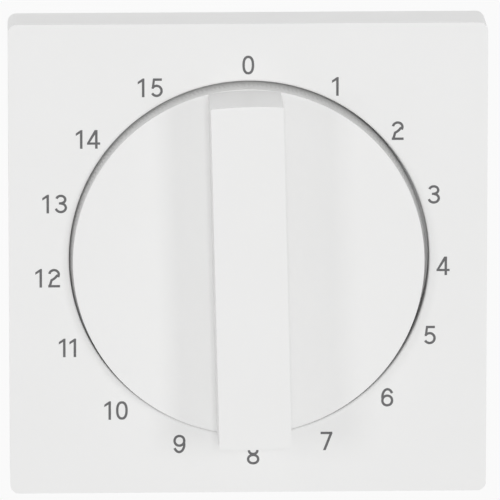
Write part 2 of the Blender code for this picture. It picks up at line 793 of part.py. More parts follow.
def case_cavity_loop():
    """The inside of the case: a chamfered square that runs round the screw columns."""
    inner_chamfer = CASE_CHAMFER - CASE_WALL * (2 - DIAGONAL)
    side = CASE_INNER - inner_chamfer
    wall_distance = (CASE_INNER + side) / DIAGONAL - COLUMN_OFFSET * DIAGONAL
    half_angle = math.acos(wall_distance / COLUMN_RADIUS)
    loop = []
    for quarter in range(4):
        diagonal = (quarter + 0.5) * math.pi / 2
        turn = Matrix.Rotation(quarter * math.pi / 2, 2)
        column = polar((0.0, 0.0), COLUMN_OFFSET * DIAGONAL, diagonal)
        loop.append(tuple(turn @ Vector((CASE_INNER, side))))
        start = diagonal - half_angle
        loop += arc(column, COLUMN_RADIUS, start, start - math.tau + 2 * half_angle, COLUMN_STEPS)
        loop.append(tuple(turn @ Vector((side, CASE_INNER))))
    return loop


def make_case_front():
    outline = chamfered_square(CASE_HALF, CASE_CHAMFER)
    case = piece(slab("case_front", [outline], CASE_FRONT, CASE_SPLIT), "grey_plastic")
    cavity = slab(
        "case_front_cavity", [case_cavity_loop()], CASE_FRONT + CASE_WALL, CASE_SPLIT + BEYOND
    )
    cut(case, cavity)
    collar = rod(
        "case_collar",
        COLLAR_RADIUS,
        CASE_FRONT - COLLAR_HEIGHT,
        CASE_FRONT + CASE_WALL / 2,
        steps=MEDIUM_STEPS,
    )
    join(case, collar)
    cut(
        case,
        rod(
            "case_shaft_hole",
            SHAFT_RADIUS + RUN_GAP,
            CASE_FRONT - COLLAR_HEIGHT - BEYOND,
            CASE_FRONT + CASE_WALL + BEYOND,
            steps=MEDIUM_STEPS,
        ),
    )
    for number, column in enumerate(COLUMNS, 1):
        cut(
            case,
            rod(
                "case_front_screw_hole_%d" % number,
                CASE_SCREW_RADIUS + FIT_GAP,
                CASE_FRONT - BEYOND,
                CASE_SPLIT + BEYOND,
                column,
            ),
        )


def make_case_rear():
    outline = chamfered_square(CASE_HALF, CASE_CHAMFER)
    front = CASE_SPLIT + SEAT_GAP
    case = slab("case_rear", [outline], front, CASE_REAR)
    round_rim(case, CASE_EDGE, CASE_RIM_STEPS, way=-1)
    piece(case, "grey_plastic")
    cut(case, slab("case_rear_cavity", [case_cavity_loop()], front - BEYOND, CASE_REAR_INNER))
    barrier_front = LEAF_REAR + RUN_GAP
    barrier_rear = CASE_REAR_INNER + CASE_WALL / 2
    reach = CASE_INNER + CASE_WALL / 2
    half_wall = BARRIER_WALL / 2
    join(
        case,
        box(
            "case_barrier_tall",
            (-half_wall, barrier_front, -reach),
            (half_wall, barrier_rear, reach),
        ),
        box(
            "case_barrier_flat",
            (-reach, barrier_front + BITE, -half_wall),
            (reach, barrier_rear - BITE, half_wall),
        ),
    )
    for number, column in enumerate(COLUMNS, 1):
        profile = [
            (0.0, front - BEYOND),
            (CASE_SCREW_RADIUS + FIT_GAP, front - BEYOND),
            (CASE_SCREW_RADIUS + FIT_GAP, CASE_REAR - CASE_SCREW_RECESS),
            (CASE_SCREW_HEAD + FIT_GAP, CASE_REAR - CASE_SCREW_RECESS),
            (CASE_SCREW_HEAD + FIT_GAP, CASE_REAR + BEYOND),
            (0.0, CASE_REAR + BEYOND),
        ]
        cut(case, turned("case_rear_screw_hole_%d" % number, profile, column))
    wire_hole_radius = WIRE_HOLE_RADIUS + RUN_GAP
    funnel = [
        (0.0, CASE_REAR_INNER - BEYOND),
        (wire_hole_radius, CASE_REAR_INNER - BEYOND),
        (wire_hole_radius, CASE_REAR - WIRE_LEAD_IN),
        (wire_hole_radius + WIRE_LEAD_IN + BEYOND, CASE_REAR + BEYOND),
        (0.0, CASE_REAR + BEYOND),
    ]
    for number, (x, z) in enumerate(QUADRANTS, 1):
        wire_hole = turned(
            "case_wire_hole_%d" % number, funnel, (x * TERMINAL_X, z * WIRE_HOLE_Z)
        )
        ends = sorted((z * (CASE_INNER - BEYOND), z * (CASE_HALF + BEYOND)))
        port = upright_rod(
            "case_driver_port_%d" % number,
            DRIVER_PORT_RADIUS,
            (x * TERMINAL_X, TERMINAL_SCREW_Y),
            *ends,
        )
        cut(case, wire_hole, port)


def make_case_screws():
    tip = FRAME_FRONT + RUN_GAP
    head_front = CASE_REAR - CASE_SCREW_RECESS + SEAT_GAP
    for number, column in enumerate(COLUMNS, 1):
        profile = [
            (0.0, tip),
            (CASE_SCREW_RADIUS, tip),
            (CASE_SCREW_RADIUS, head_front),
            (CASE_SCREW_HEAD, head_front),
            (CASE_SCREW_HEAD, CASE_REAR - RUN_GAP),
            (0.0, CASE_REAR - RUN_GAP),
        ]
        screw = piece(turned("case_screw_%d" % number, profile, column), "bright_steel")
        half = CASE_SCREW_HEAD + BITE
        rear = CASE_REAR - RUN_GAP
        low = (column[0] - half, rear - DRIVER_SLOT, column[1] - DRIVER_SLOT / 2)
        high = (column[0] + half, rear + BITE, column[1] + DRIVER_SLOT / 2)
        cut(screw, box("case_driver_slot_%d" % number, low, high))


def movement_plate_loops(journal_radius):
    chamfer = 2 * (MOVEMENT_HALF - MOVEMENT_CORNER)
    loops = [chamfered_square(MOVEMENT_HALF, chamfer)]
    loops.append(circle(journal_radius + FIT_GAP, MEDIUM_STEPS))
    loops += [circle(PIVOT_RADIUS + FIT_GAP, SMALL_STEPS, axis) for axis in ARBOR_AXES]
    loops += [circle(PILLAR_TENON + FIT_GAP, SMALL_STEPS, axis) for axis in PILLARS]
    return loops


def make_movement_plates():
    post_hole = circle(SPRING_POST_RADIUS + FIT_GAP, SMALL_STEPS, SPRING_POST_AXIS)
    front_loops = movement_plate_loops(FRONT_JOURNAL_RADIUS) + [post_hole]
    front = slab("front_movement_plate", front_loops, FRONT_PLATE, FRONT_PLATE + MOVEMENT_PLATE)
    piece(front, "brass")
    pin_hole = circle(STOP_PIN_RADIUS + FIT_GAP, SMALL_STEPS, (0.0, STOP_CIRCLE))
    rear_loops = movement_plate_loops(REAR_JOURNAL_RADIUS) + [pin_hole]
    piece(slab("rear_movement_plate", rear_loops, REAR_PLATE, REAR_PLATE_END), "brass")


def stepped_rod(name, centre, radius, end_radius, y_front, y_rear, end_length, finish):
    """A rod with a thinner stub at each end, such as an arbor or a pillar."""
    profile = [
        (0.0, y_front - end_length),
        (end_radius, y_front - end_length),
        (end_radius, y_front),
        (radius, y_front),
        (radius, y_rear),
        (end_radius, y_rear),
        (end_radius, y_rear + end_length),
        (0.0, y_rear + end_length),
    ]
    return piece(turned(name, profile, centre), finish)


def between_plates(name, centre, radius, end_radius, finish):
    front = FRONT_PLATE + MOVEMENT_PLATE + SEAT_GAP
    rear = REAR_PLATE - SEAT_GAP
    return stepped_rod(name, centre, radius, end_radius, front, rear, MOVEMENT_PLATE, finish)


def make_pillars():
    for number, axis in enumerate(PILLARS, 1):
        between_plates("pillar_%d" % number, axis, PILLAR_RADIUS, PILLAR_TENON, "bright_steel")


def make_timer_shaft():
    front_shoulder = FRONT_PLATE - SEAT_GAP
    seat_front = FRONT_PLATE + MOVEMENT_PLATE + SEAT_GAP
    seat_rear = REAR_PLATE - SEAT_GAP
    chamfer = SHAFT_RADIUS - SHAFT_FLAT
    profile = [
        (0.0, SHAFT_FRONT),
        (SHAFT_RADIUS - chamfer / 2, SHAFT_FRONT),
        (SHAFT_RADIUS, SHAFT_FRONT + chamfer / 2),
        (SHAFT_RADIUS, front_shoulder),
        (FRONT_JOURNAL_RADIUS, front_shoulder),
        (FRONT_JOURNAL_RADIUS, seat_front),
        (SPRING_SEAT_RADIUS, seat_front),
        (SPRING_SEAT_RADIUS, seat_rear),
        (REAR_JOURNAL_RADIUS, seat_rear),
        (REAR_JOURNAL_RADIUS, SHAFT_REAR),
        (0.0, SHAFT_REAR),
    ]
    shaft = piece(turned("timer_shaft", profile, steps=MEDIUM_STEPS), "bright_steel")
    reach = SHAFT_RADIUS + BEYOND
    front_flat = box(
        "shaft_front_flat",
        (-reach, SHAFT_FRONT - BEYOND, SHAFT_FLAT),
        (reach, DISC_REAR, SHAFT_FLAT + BEYOND),
    )
    rear_flat = box(
        "shaft_rear_flat",
        (-reach, REAR_PLATE_END + RUN_GAP, REAR_FLAT),
        (reach, SHAFT_REAR + BEYOND, REAR_FLAT + BEYOND),
    )
    cut(shaft, front_flat, rear_flat)


def tooth_half_angle(teeth, module, radius):
    """Half the angle that an involute tooth spans at a radius, with the backlash taken off."""
    pitch_radius = module * teeth / 2
    base_radius = pitch_radius * math.cos(PRESSURE_ANGLE)
    slope = math.acos(min(1.0, base_radius / radius))
    half_at_pitch = (math.pi * module / 4 - BACKLASH / 2) / pitch_radius
    unrolled = math.tan(PRESSURE_ANGLE) - PRESSURE_ANGLE
    return half_at_pitch + unrolled - (math.tan(slope) - slope)


def gear_loop(teeth, module, addendum, phase):
    """The outline of a gear whose first tooth points along the phase angle."""
    pitch_radius = module * teeth / 2
    tip = pitch_radius + addendum * module
    root = pitch_radius - DEDENDUM * module
    foot = max(root, pitch_radius * math.cos(PRESSURE_ANGLE))
    radii = [foot + (tip - foot) * step / FLANK_STEPS for step in range(FLANK_STEPS + 1)]
    flank = [(radius, tooth_half_angle(teeth, module, radius)) for radius in radii]
    if root < foot - UNDERCUT * module:
        flank.insert(0, (root, flank[0][1]))
    side = [(radius, -half) for radius, half in flank] + flank[::-1]
    loop = []
    for tooth in range(teeth):
        centre_line = phase + math.tau * tooth / teeth
        loop += [polar((0.0, 0.0), radius, centre_line + offset) for radius, offset in side]
    return loop


def wheel_loop(teeth, module, direction):
    """A wheel with a tooth on the line to the pinion that it drives."""
    return gear_loop(teeth, module, WHEEL_ADDENDUM, direction)


def pinion_loop(module, direction):
    """A pinion with a gap on the line back to the wheel that drives it."""
    phase = direction + math.pi + math.pi / PINION_LEAVES
    return gear_loop(PINION_LEAVES, module, PINION_ADDENDUM, phase)


def make_pinion_arbor(name, axis, module, direction, wheel_front, wheel_thickness):
    arbor = between_plates(name, axis, ARBOR_RADIUS, PIVOT_RADIUS, "bright_steel")
    leaves = slab(
        name + "_leaves",
        [pinion_loop(module, direction)],
        wheel_front - PINION_OVERLAP,
        wheel_front + wheel_thickness + PINION_OVERLAP,
        axis,
    )
    shape_with(arbor, "UNION", [leaves], "MANIFOLD")


def spoke_openings(boss, teeth, module):
    """The openings between a wheel's spokes, from its boss to the inside of its rim."""
    rim = module * teeth / 2 - DEDENDUM * module - WHEEL_RIM
    loops = []
    for number in range(WHEEL_SPOKES):
        middle = math.tau * (number + 0.5) / WHEEL_SPOKES
        loop = []
        for radius, way in ((rim, 1), (boss, -1)):
            half = math.pi / WHEEL_SPOKES - math.asin(SPOKE_WIDTH / 2 / radius)
            loop += arc((0.0, 0.0), radius, middle - way * half, middle + way * half, SPOKE_STEPS)
        loops.append(loop)
    return loops


def make_train():
    main_bore = SPRING_SEAT_RADIUS + FIT_GAP
    main = slab(
        "main_wheel",
        [
            wheel_loop(MAIN_TEETH, MAIN_MODULE, SECOND_DIRECTION),
            circle(main_bore, MEDIUM_STEPS),
            *spoke_openings(main_bore + CLUTCH_WIDTH + WHEEL_BOSS, MAIN_TEETH, MAIN_MODULE),
        ],
        MAIN_FRONT,
        MAIN_FRONT + MAIN_THICKNESS,
    )
    piece(main, "brass")
    make_pinion_arbor(
        "second_arbor", SECOND_AXIS, MAIN_MODULE, SECOND_DIRECTION, MAIN_FRONT, MAIN_THICKNESS
    )
    make_pinion_arbor(
        "third_arbor", THIRD_AXIS, SECOND_MODULE, THIRD_DIRECTION, SECOND_FRONT, SECOND_THICKNESS
    )
    make_pinion_arbor(
        "escape_arbor", ESCAPE_AXIS, THIRD_MODULE, ESCAPE_DIRECTION, THIRD_FRONT, THIRD_THICKNESS
    )
    bore = circle(ARBOR_RADIUS + FIT_GAP)
    boss = ARBOR_RADIUS + FIT_GAP + WHEEL_BOSS
    second = slab(
        "second_wheel",
        [
            wheel_loop(SECOND_TEETH, SECOND_MODULE, THIRD_DIRECTION),
            bore,
            *spoke_openings(boss, SECOND_TEETH, SECOND_MODULE),
        ],
        SECOND_FRONT,
        SECOND_FRONT + SECOND_THICKNESS,
        SECOND_AXIS,
    )
    third = slab(
        "third_wheel",
        [
            wheel_loop(THIRD_TEETH, THIRD_MODULE, ESCAPE_DIRECTION),
            bore,
            *spoke_openings(boss, THIRD_TEETH, THIRD_MODULE),
        ],
        THIRD_FRONT,
        THIRD_FRONT + THIRD_THICKNESS,
        THIRD_AXIS,
    )
    escape = slab(
        "escape_wheel",
        [escape_loop(), bore],
        SECOND_FRONT,
        SECOND_FRONT + SECOND_THICKNESS,
        ESCAPE_AXIS,
    )
    for wheel in (second, third, escape):
        piece(wheel, "brass")


def escape_loop():
    """Hooked teeth: a steep locking face, a narrow tip and a long sloping back."""
    pitch = math.tau / ESCAPE_TEETH
    root = ESCAPE_RADIUS - ESCAPE_TOOTH
    loop = []
    for tooth in range(ESCAPE_TEETH):
        start = tooth * pitch
        loop.append(polar((0.0, 0.0), root, start))
        loop.append(polar((0.0, 0.0), ESCAPE_RADIUS, start + pitch * ESCAPE_TIP_START))
        loop.append(polar((0.0, 0.0), ESCAPE_RADIUS, start + pitch * ESCAPE_TIP_END))
        loop.append(polar((0.0, 0.0), root, start + pitch * ESCAPE_HOOK))
    return loop


def make_clutch_spring():
    """A dished washer between the main wheel and the second wheel's layer."""
    front = MAIN_FRONT + MAIN_THICKNESS + SEAT_GAP
    inner = SPRING_SEAT_RADIUS + FIT_GAP
    outer = inner + CLUTCH_WIDTH
    ring = [
        (outer, front),
        (outer, front + CLUTCH_THICKNESS),
        (inner, front + CLUTCH_DISH + CLUTCH_THICKNESS),
        (inner, front + CLUTCH_DISH),
    ]
    washer = turned("clutch_spring", ring, steps=MEDIUM_STEPS, hollow=True)
    piece(washer, "spring_steel")


def make_mainspring():
    """A flat spiral from the shaft outwards, hooked round the spring post."""
    total = SPRING_TURNS * SPRING_STEPS
    path = []
    for step in range(total + 1):
        turned_by = math.tau * step / SPRING_STEPS
        radius = SPRING_INNER + SPRING_PITCH * turned_by / math.tau
        path.append(polar((0.0, 0.0), radius, math.pi - math.tau * SPRING_TURNS + turned_by))
    path += arc(SPRING_POST_AXIS, SPRING_CURL, 0.0, -SPRING_HOOK, HOOK_STEPS)[1:]
    spring = slab(
        "mainspring",
        [band_loop(path, SPRING_STRIP)],
        SPRING_FRONT,
        SPRING_FRONT + SPRING_WIDTH,
    )
    piece(spring, "spring_steel")
    post = rod(
        "spring_post",
        SPRING_POST_RADIUS,
        FRONT_PLATE,
        SPRING_FRONT + SPRING_WIDTH,
        SPRING_POST_AXIS,
    )
    piece(post, "bright_steel")


def make_pallet():
    between_plates("pallet_arbor", PALLET_AXIS, ARBOR_RADIUS, PIVOT_RADIUS, "bright_steel")
    reach = ESCAPE_RADIUS + PALLET_REACH
    toward_wheel = PALLET_DIRECTION + math.pi
    wheel_centre = polar((0.0, 0.0), reach, toward_wheel)
    radius = ESCAPE_RADIUS + PALLET_CLEARANCE + PALLET_BAND / 2
    start = PALLET_DIRECTION - PALLET_SPAN
    end = PALLET_DIRECTION + PALLET_SPAN
    anchor = slab(
        "pallet",
        [band_loop(arc(wheel_centre, radius, start, end, HOOK_STEPS), PALLET_BAND)],
        SECOND_FRONT,
        SECOND_FRONT + SECOND_THICKNESS,
        PALLET_AXIS,
    )
    piece(anchor, "bright_steel")
    hub = rod(
        "pallet_hub",
        PALLET_HUB_RADIUS,
        SECOND_FRONT - PINION_OVERLAP,
        SECOND_FRONT + SECOND_THICKNESS + PINION_OVERLAP,
        PALLET_AXIS,
    )
    join(anchor, hub)
    cut(
        anchor,
        rod(
            "pallet_bore",
            ARBOR_RADIUS + FIT_GAP,
            SECOND_FRONT - LAYER_GAP,
            SECOND_FRONT + SECOND_THICKNESS + LAYER_GAP,
            PALLET_AXIS,
        ),
    )
    bar = slab(
        "balance_bar",
        [
            slot_loop((0.0, 0.0), 2 * BALANCE_HALF_LENGTH, BALANCE_WIDTH, math.pi / 2, END_STEPS),
            circle(ARBOR_RADIUS + FIT_GAP),
        ],
        SPRING_FRONT + LAYER_GAP,
        SPRING_FRONT + LAYER_GAP + MAIN_THICKNESS,
        PALLET_AXIS,
    )
    piece(bar, "brass")


def track_loop(side):
    """One cam track: a circle with a notch for the nose on one side, -1 left or 1 right."""
    rim_half = NOTCH_FLOOR / 2 + NOTCH_DEPTH
    half_angle = math.asin(rim_half / CAM_RADIUS)
    floor = CAM_RADIUS - NOTCH_DEPTH
    loop = arc((0.0, 0.0), CAM_RADIUS, half_angle, math.tau - half_angle, CAM_STEPS)
    loop += [(floor, -NOTCH_FLOOR / 2), (floor, NOTCH_FLOOR / 2)]
    return [(side * x, z) for x, z in loop]


def make_switch_cam():
    cam = slab("switch_cam", [track_loop(-1)], CAM_FRONT, CAM_FRONT + CAM_TRACK)
    piece(cam, "natural_plastic")
    second_track = slab("cam_second_track", [track_loop(1)], CAM_SECOND_TRACK, CAM_REAR)
    neck = rod(
        "cam_neck",
        CAM_RADIUS - CAM_NECK_DEPTH,
        CAM_FRONT + CAM_TRACK / 2,
        CAM_REAR - CAM_TRACK / 2,
        steps=MEDIUM_STEPS,
    )
    pin_angle = math.asin(STOP_PIN_RADIUS / STOP_CIRCLE)
    free_turn = (math.tau - TURN_RANGE) / 2
    lug_half = free_turn - pin_angle - STOP_SLACK
    lug_angle = math.pi / 2 - free_turn
    inner = STOP_CIRCLE - LUG_WIDTH / 2
    outer = STOP_CIRCLE + LUG_WIDTH / 2
    lug_loop = arc((0.0, 0.0), outer, lug_angle - lug_half, lug_angle + lug_half, LUG_STEPS)
    lug_loop += arc((0.0, 0.0), inner, lug_angle + lug_half, lug_angle - lug_half, LUG_STEPS)
    lug = slab("cam_lug", [lug_loop], CAM_FRONT - LUG_LENGTH, CAM_FRONT + CAM_TRACK / 2)
    join(cam, second_track, neck, lug)
    cut(
        cam,
        slab(
            "cam_bore",
            [d_loop(REAR_JOURNAL_RADIUS + FIT_GAP, REAR_FLAT + FIT_GAP)],
            CAM_FRONT - BEYOND,
            CAM_REAR + BEYOND,
        ),
    )
    stop_pin = rod(
        "stop_pin",
        STOP_PIN_RADIUS,
        REAR_PLATE,
        CAM_FRONT - RUN_GAP,
        (0.0, STOP_CIRCLE),
    )
    piece(stop_pin, "bright_steel")


def nose_loop(side):
    """The leaf's cam follower, which fills the notch but for a small gap."""
    tip = CAM_RADIUS - NOTCH_DEPTH + NOSE_GAP
    base_half = NOSE_TIP + NOTCH_DEPTH
    points = [(tip, NOSE_TIP), (tip + NOTCH_DEPTH, base_half), (LEAF_X, base_half)]
    loop = points + [(x, -z) for x, z in reversed(points)]
    return [(side * x, z) for x, z in loop]


def make_contacts():
    leaf_front = CAM_FRONT + NOSE_GAP
    strip_end = TERMINAL_TOP - STRIP_END
    leaf_top = CONTACT_HEIGHT + BUTTON_RADIUS + BITE
    travel_x = LEAF_X + LEAF_THICKNESS / 2 + 2 * BUTTON_HEIGHT + CONTACT_TRAVEL
    fixed_x = travel_x + CONTACT_THICKNESS / 2
    fixed_foot_x = TERMINAL_OUTER_X + SEAT_GAP + CONTACT_THICKNESS / 2
    jog_low = leaf_top + BUTTON_RADIUS
    jog_high = jog_low + (fixed_x - fixed_foot_x)
    tracks = {-1: CAM_FRONT, 1: CAM_SECOND_TRACK}
    for name, side in (("left", -1), ("right", 1)):
        leaf_path = [(side * LEAF_X, -strip_end), (side * LEAF_X, leaf_top)]
        leaf = slab(
            "blade_" + name, [band_loop(leaf_path, LEAF_THICKNESS)], leaf_front, LEAF_REAR
        )
        piece(leaf, "contact_bronze")
        track = tracks[side]
        nose = slab(
            "blade_nose_" + name,
            [nose_loop(side)],
            track + NOSE_GAP,
            track + CAM_TRACK - NOSE_GAP,
        )
        button = button_slab("blade_button_" + name, side * LEAF_X, side, leaf_front)
        join(leaf, nose, button)
        fixed_path = [
            (side * fixed_foot_x, strip_end),
            (side * fixed_foot_x, jog_high),
            (side * fixed_x, jog_low),
            (side * fixed_x, CONTACT_HEIGHT - BUTTON_RADIUS - BITE),
        ]
        fixed = slab(
            "contact_" + name, [band_loop(fixed_path, CONTACT_THICKNESS)], leaf_front, LEAF_REAR
        )
        piece(fixed, "contact_bronze")
        join(fixed, button_slab("contact_button_" + name, side * fixed_x, -side, leaf_front))


def button_slab(name, x, way, leaf_front):
    """A contact rivet's head: a short round along X that stands out from a strip."""
    middle = (leaf_front + LEAF_REAR) / 2
    thickness = LEAF_THICKNESS / 2 + BUTTON_HEIGHT
    button = upright_rod(name, BUTTON_RADIUS, (x + way * thickness / 2, middle), 0.0, thickness)
    button.rotation_euler = (0.0, FACE_FRONT, 0.0)
    button.location.z = CONTACT_HEIGHT
    return button


def make_terminals():
    for number, (x, z) in enumerate(QUADRANTS, 1):
        low_z, high_z = sorted((z * (TERMINAL_TOP - TERMINAL_HEIGHT), z * TERMINAL_TOP))
        centre_x = x * TERMINAL_X
        half = TERMINAL_WIDTH / 2
        block = box(
            "terminal_%d" % number,
            (centre_x - half, TERMINAL_FRONT, low_z),
            (centre_x + half, TERMINAL_REAR, high_z),
        )
        piece(block, "brass")
        wire_hole = rod(
            "terminal_wire_hole_%d" % number,
            WIRE_HOLE_RADIUS,
            TERMINAL_FRONT + TERMINAL_GRIP,
            TERMINAL_REAR + BEYOND,
            (centre_x, z * WIRE_HOLE_Z),
        )
        screw_centre = (centre_x, TERMINAL_SCREW_Y)
        hole_ends = sorted((z * WIRE_HOLE_Z, z * (TERMINAL_TOP + BEYOND)))
        thread = upright_rod(
            "terminal_thread_%d" % number,
            TERMINAL_SCREW_RADIUS + FIT_GAP,
            screw_centre,
            *hole_ends,
        )
        cut(block, wire_hole, thread)
        head_low = TERMINAL_TOP + SEAT_GAP
        head_high = head_low + SCREW_HEAD_HEIGHT
        head_ends = sorted((z * head_low, z * head_high))
        screw = upright_rod(
            "terminal_screw_%d" % number, TERMINAL_SCREW_HEAD, screw_centre, *head_ends
        )
        piece(screw, "bright_steel")
        shank_ends = sorted((z * (WIRE_HOLE_Z + WIRE_HOLE_RADIUS / 2), z * (head_low + BITE)))
        shank = upright_rod(
            "terminal_shank_%d" % number, TERMINAL_SCREW_RADIUS, screw_centre, *shank_ends
        )
        join(screw, shank)
        slot_ends = sorted((z * (head_high - DRIVER_SLOT), z * (head_high + BITE)))
        slot_half = TERMINAL_SCREW_HEAD + BITE
        low = (centre_x - slot_half, TERMINAL_SCREW_Y - DRIVER_SLOT / 2, slot_ends[0])
        high = (centre_x + slot_half, TERMINAL_SCREW_Y + DRIVER_SLOT / 2, slot_ends[1])
        cut(screw, box("terminal_driver_slot_%d" % number, low, high))


def main():
    pivot = bpy.data.objects.new("knob_pivot", None)
    pivot.rotation_euler = (0.0, KNOB_REST_ANGLE, 0.0)
    PIECES.objects.link(pivot)
    make_cover_plate()
    make_cover_screws()
    make_knob(pivot)
    make_knob_clip(pivot)
    make_support_frame()
    make_case_front()
    make_case_rear()
    make_case_screws()
    make_movement_plates()
    make_pillars()
    make_timer_shaft()
    make_train()
    make_clutch_spring()
    make_mainspring()
    make_pallet()
    make_switch_cam()
    make_contacts()
    make_terminals()


main()
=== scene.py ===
"""Looks of the flush-mounted rotary timer switch: surfaces, printed numbers, light and camera."""

import json
import math

import bmesh
import bpy
from mathutils import Matrix, Vector

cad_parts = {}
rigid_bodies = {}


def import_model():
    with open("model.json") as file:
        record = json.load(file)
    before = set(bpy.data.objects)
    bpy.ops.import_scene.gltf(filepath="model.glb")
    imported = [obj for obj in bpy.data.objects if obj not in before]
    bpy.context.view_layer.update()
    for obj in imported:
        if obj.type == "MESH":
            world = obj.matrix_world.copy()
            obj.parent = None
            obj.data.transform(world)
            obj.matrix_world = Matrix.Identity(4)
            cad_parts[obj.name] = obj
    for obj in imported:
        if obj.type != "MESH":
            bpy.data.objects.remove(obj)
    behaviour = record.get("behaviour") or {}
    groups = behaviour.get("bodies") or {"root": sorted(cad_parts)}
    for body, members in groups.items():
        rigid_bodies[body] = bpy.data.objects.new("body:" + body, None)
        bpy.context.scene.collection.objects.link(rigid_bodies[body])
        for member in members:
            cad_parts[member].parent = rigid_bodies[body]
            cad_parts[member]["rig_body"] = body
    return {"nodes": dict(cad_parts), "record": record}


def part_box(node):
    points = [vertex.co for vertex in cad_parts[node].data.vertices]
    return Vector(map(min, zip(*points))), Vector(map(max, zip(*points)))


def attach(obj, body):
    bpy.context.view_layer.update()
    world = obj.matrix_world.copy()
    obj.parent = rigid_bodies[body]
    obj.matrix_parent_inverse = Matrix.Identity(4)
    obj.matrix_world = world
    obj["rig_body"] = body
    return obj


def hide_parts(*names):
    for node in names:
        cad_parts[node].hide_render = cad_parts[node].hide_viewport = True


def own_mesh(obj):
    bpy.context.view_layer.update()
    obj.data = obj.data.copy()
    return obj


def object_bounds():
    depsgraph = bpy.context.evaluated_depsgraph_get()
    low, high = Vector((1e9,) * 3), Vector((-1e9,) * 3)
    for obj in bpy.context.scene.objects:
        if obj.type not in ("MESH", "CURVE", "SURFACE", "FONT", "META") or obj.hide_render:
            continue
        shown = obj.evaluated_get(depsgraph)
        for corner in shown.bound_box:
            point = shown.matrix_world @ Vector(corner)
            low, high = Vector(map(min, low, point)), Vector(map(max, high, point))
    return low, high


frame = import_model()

CAD_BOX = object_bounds()

# Clearances, how far a cutter passes a face, and how deep joined pieces overlap
SEAT_GAP = 0.0002
FIT_GAP = 0.00012
RUN_GAP = 0.0003
BEYOND = 0.0010
BITE = 0.0003

# Cover plate, whose well sits slightly off the knob's axis
PLATE_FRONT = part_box("cover_plate")[0].y
PLATE_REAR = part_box("cover_plate")[1].y
PLATE_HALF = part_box("cover_plate")[1].x
PLATE_CORNER = 0.0013
PLATE_EDGE = 0.0004
PLATE_WALL = 0.0020
PLATE_FRONT_WALL = 0.0018
PLATE_RIB = 0.0012
WELL_RADIUS = 0.0264
WELL_EDGE = 0.00035
WELL_PLACE = (0.00014, 0.00010)
WELL_WALL = 0.0015
WELL_DEPTH = 0.0045
WELL_FLOOR = 0.0015
WELL_FLOOR_FRONT = PLATE_FRONT + WELL_DEPTH
WELL_FLOOR_REAR = WELL_FLOOR_FRONT + WELL_FLOOR
COVER_BOSS_RADIUS = 0.0036
COVER_SCREW_OFFSET = 0.0200
COVER_SCREW_RADIUS = 0.0015
COVER_SCREW_HEAD = 0.0028
SHAFT_HOLE_RADIUS = 0.0040

# Knob: a disc in front of the plate, with a bar across it and a skirt inside the well
KNOB_RADIUS = 0.0257
KNOB_ANGLE = math.radians(-1.4)
KNOB_EDGE = 0.0005
SKIRT_FLARE = 0.00045
SKIRT_SLOPE = 0.0012
KNOB_WALL = 0.0018
KNOB_FRONT_WALL = 0.0016
DISC_HEIGHT = 0.0025
DISC_FRONT = PLATE_FRONT - DISC_HEIGHT
DISC_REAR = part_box("knob")[1].y
BAR_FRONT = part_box("knob")[0].y
BAR_WIDTH = 0.0105
BAR_FRONT_BULGE = 0.4
BAR_EDGE = 0.0009
BAR_WALL = 0.0016
HUB_RADIUS = 0.0046
KNOB_RIB = 0.0012
KNOB_RIB_DEPTH = 0.0030
CLIP_WIRE = 0.0008
CLIP_GROOVE = 0.0003
SHAFT_RADIUS = 0.0030
SHAFT_FLAT = 0.0024
SHAFT_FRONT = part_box("timer_shaft")[0].y

# Numbers on the cover plate: the clockwise angle of each, the clearance of their boxes
# to the dial's centre, and how much further out or in some of them lie
DIAL_DEGREES = (
    0.0, 26.1, 48.5, 70.2, 91.8, 112.9, 135.2, 157.0,
    178.6, 200.3, 221.1, 244.2, 265.4, 287.1, 308.0, 331.1,
)
DIAL_CENTRE_Z = -0.0003
DIAL_CLEARANCE = 0.0276
CLEARANCE_ROUNDS = 6
DIAL_SHIFTS = {
    0: 0.00020, 1: -0.00017, 6: -0.00022, 7: 0.00021, 8: 0.00018,
    10: -0.00021, 11: 0.00013, 13: -0.00011, 14: -0.00014, 15: -0.00010,
}
DIGIT_HEIGHT = 0.00277
INK_HEIGHT = 0.00002

# Digits, in units of their height; the gap after a 1 depends on the digit that follows
STROKE = 0.128
GAPS_AFTER_ONE = {0: 0.27, 1: 0.21, 2: 0.33, 3: 0.315, 4: 0.24, 5: 0.335}
ZERO_SQUARENESS = 2.35
BOWL_SQUARENESS = 2.1

# Facets of whole circles
ROUND_STEPS = 256
MEDIUM_STEPS = 64
SMALL_STEPS = 40

# Facets of corners, rims and arcs
CORNER_STEPS = 12
INNER_CORNER_STEPS = 4
PLATE_EDGE_STEPS = 5
WELL_EDGE_STEPS = 8
KNOB_EDGE_STEPS = 6
BAR_EDGE_STEPS = 8
BAR_END_STEPS = 16
DISC_SIDE_STEPS = 108
POCKET_END_STEPS = 12
GLYPH_ARC_STEPS = 16
GLYPH_FOOT_STEPS = 6

# A 2D curve's fill merges points less than 0.03 units apart, so outlines are
# drawn in millimetres and scaled back to metres.
DRAW_SCALE = 1000.0
FACE_FRONT = Matrix.Rotation(math.radians(90), 4, "X")

# When points are one, faces are flat and edges are round, and how long a bend's point gets
WELD_DISTANCE = 1e-7
FLAT_ANGLE = math.radians(0.02)
SMOOTH_ANGLE = math.radians(32)
MITRE_LIMIT = 0.3

# Softened edges of the nodes' own meshes
NODE_WELD = 0.000001
NODE_EDGE = 0.00006
NODE_EDGE_STEPS = 2
NODE_EDGE_ANGLE = math.radians(40)

# A noise's middle range, which its effect is stretched over
NOISE_LOW = 0.30
NOISE_HIGH = 0.70

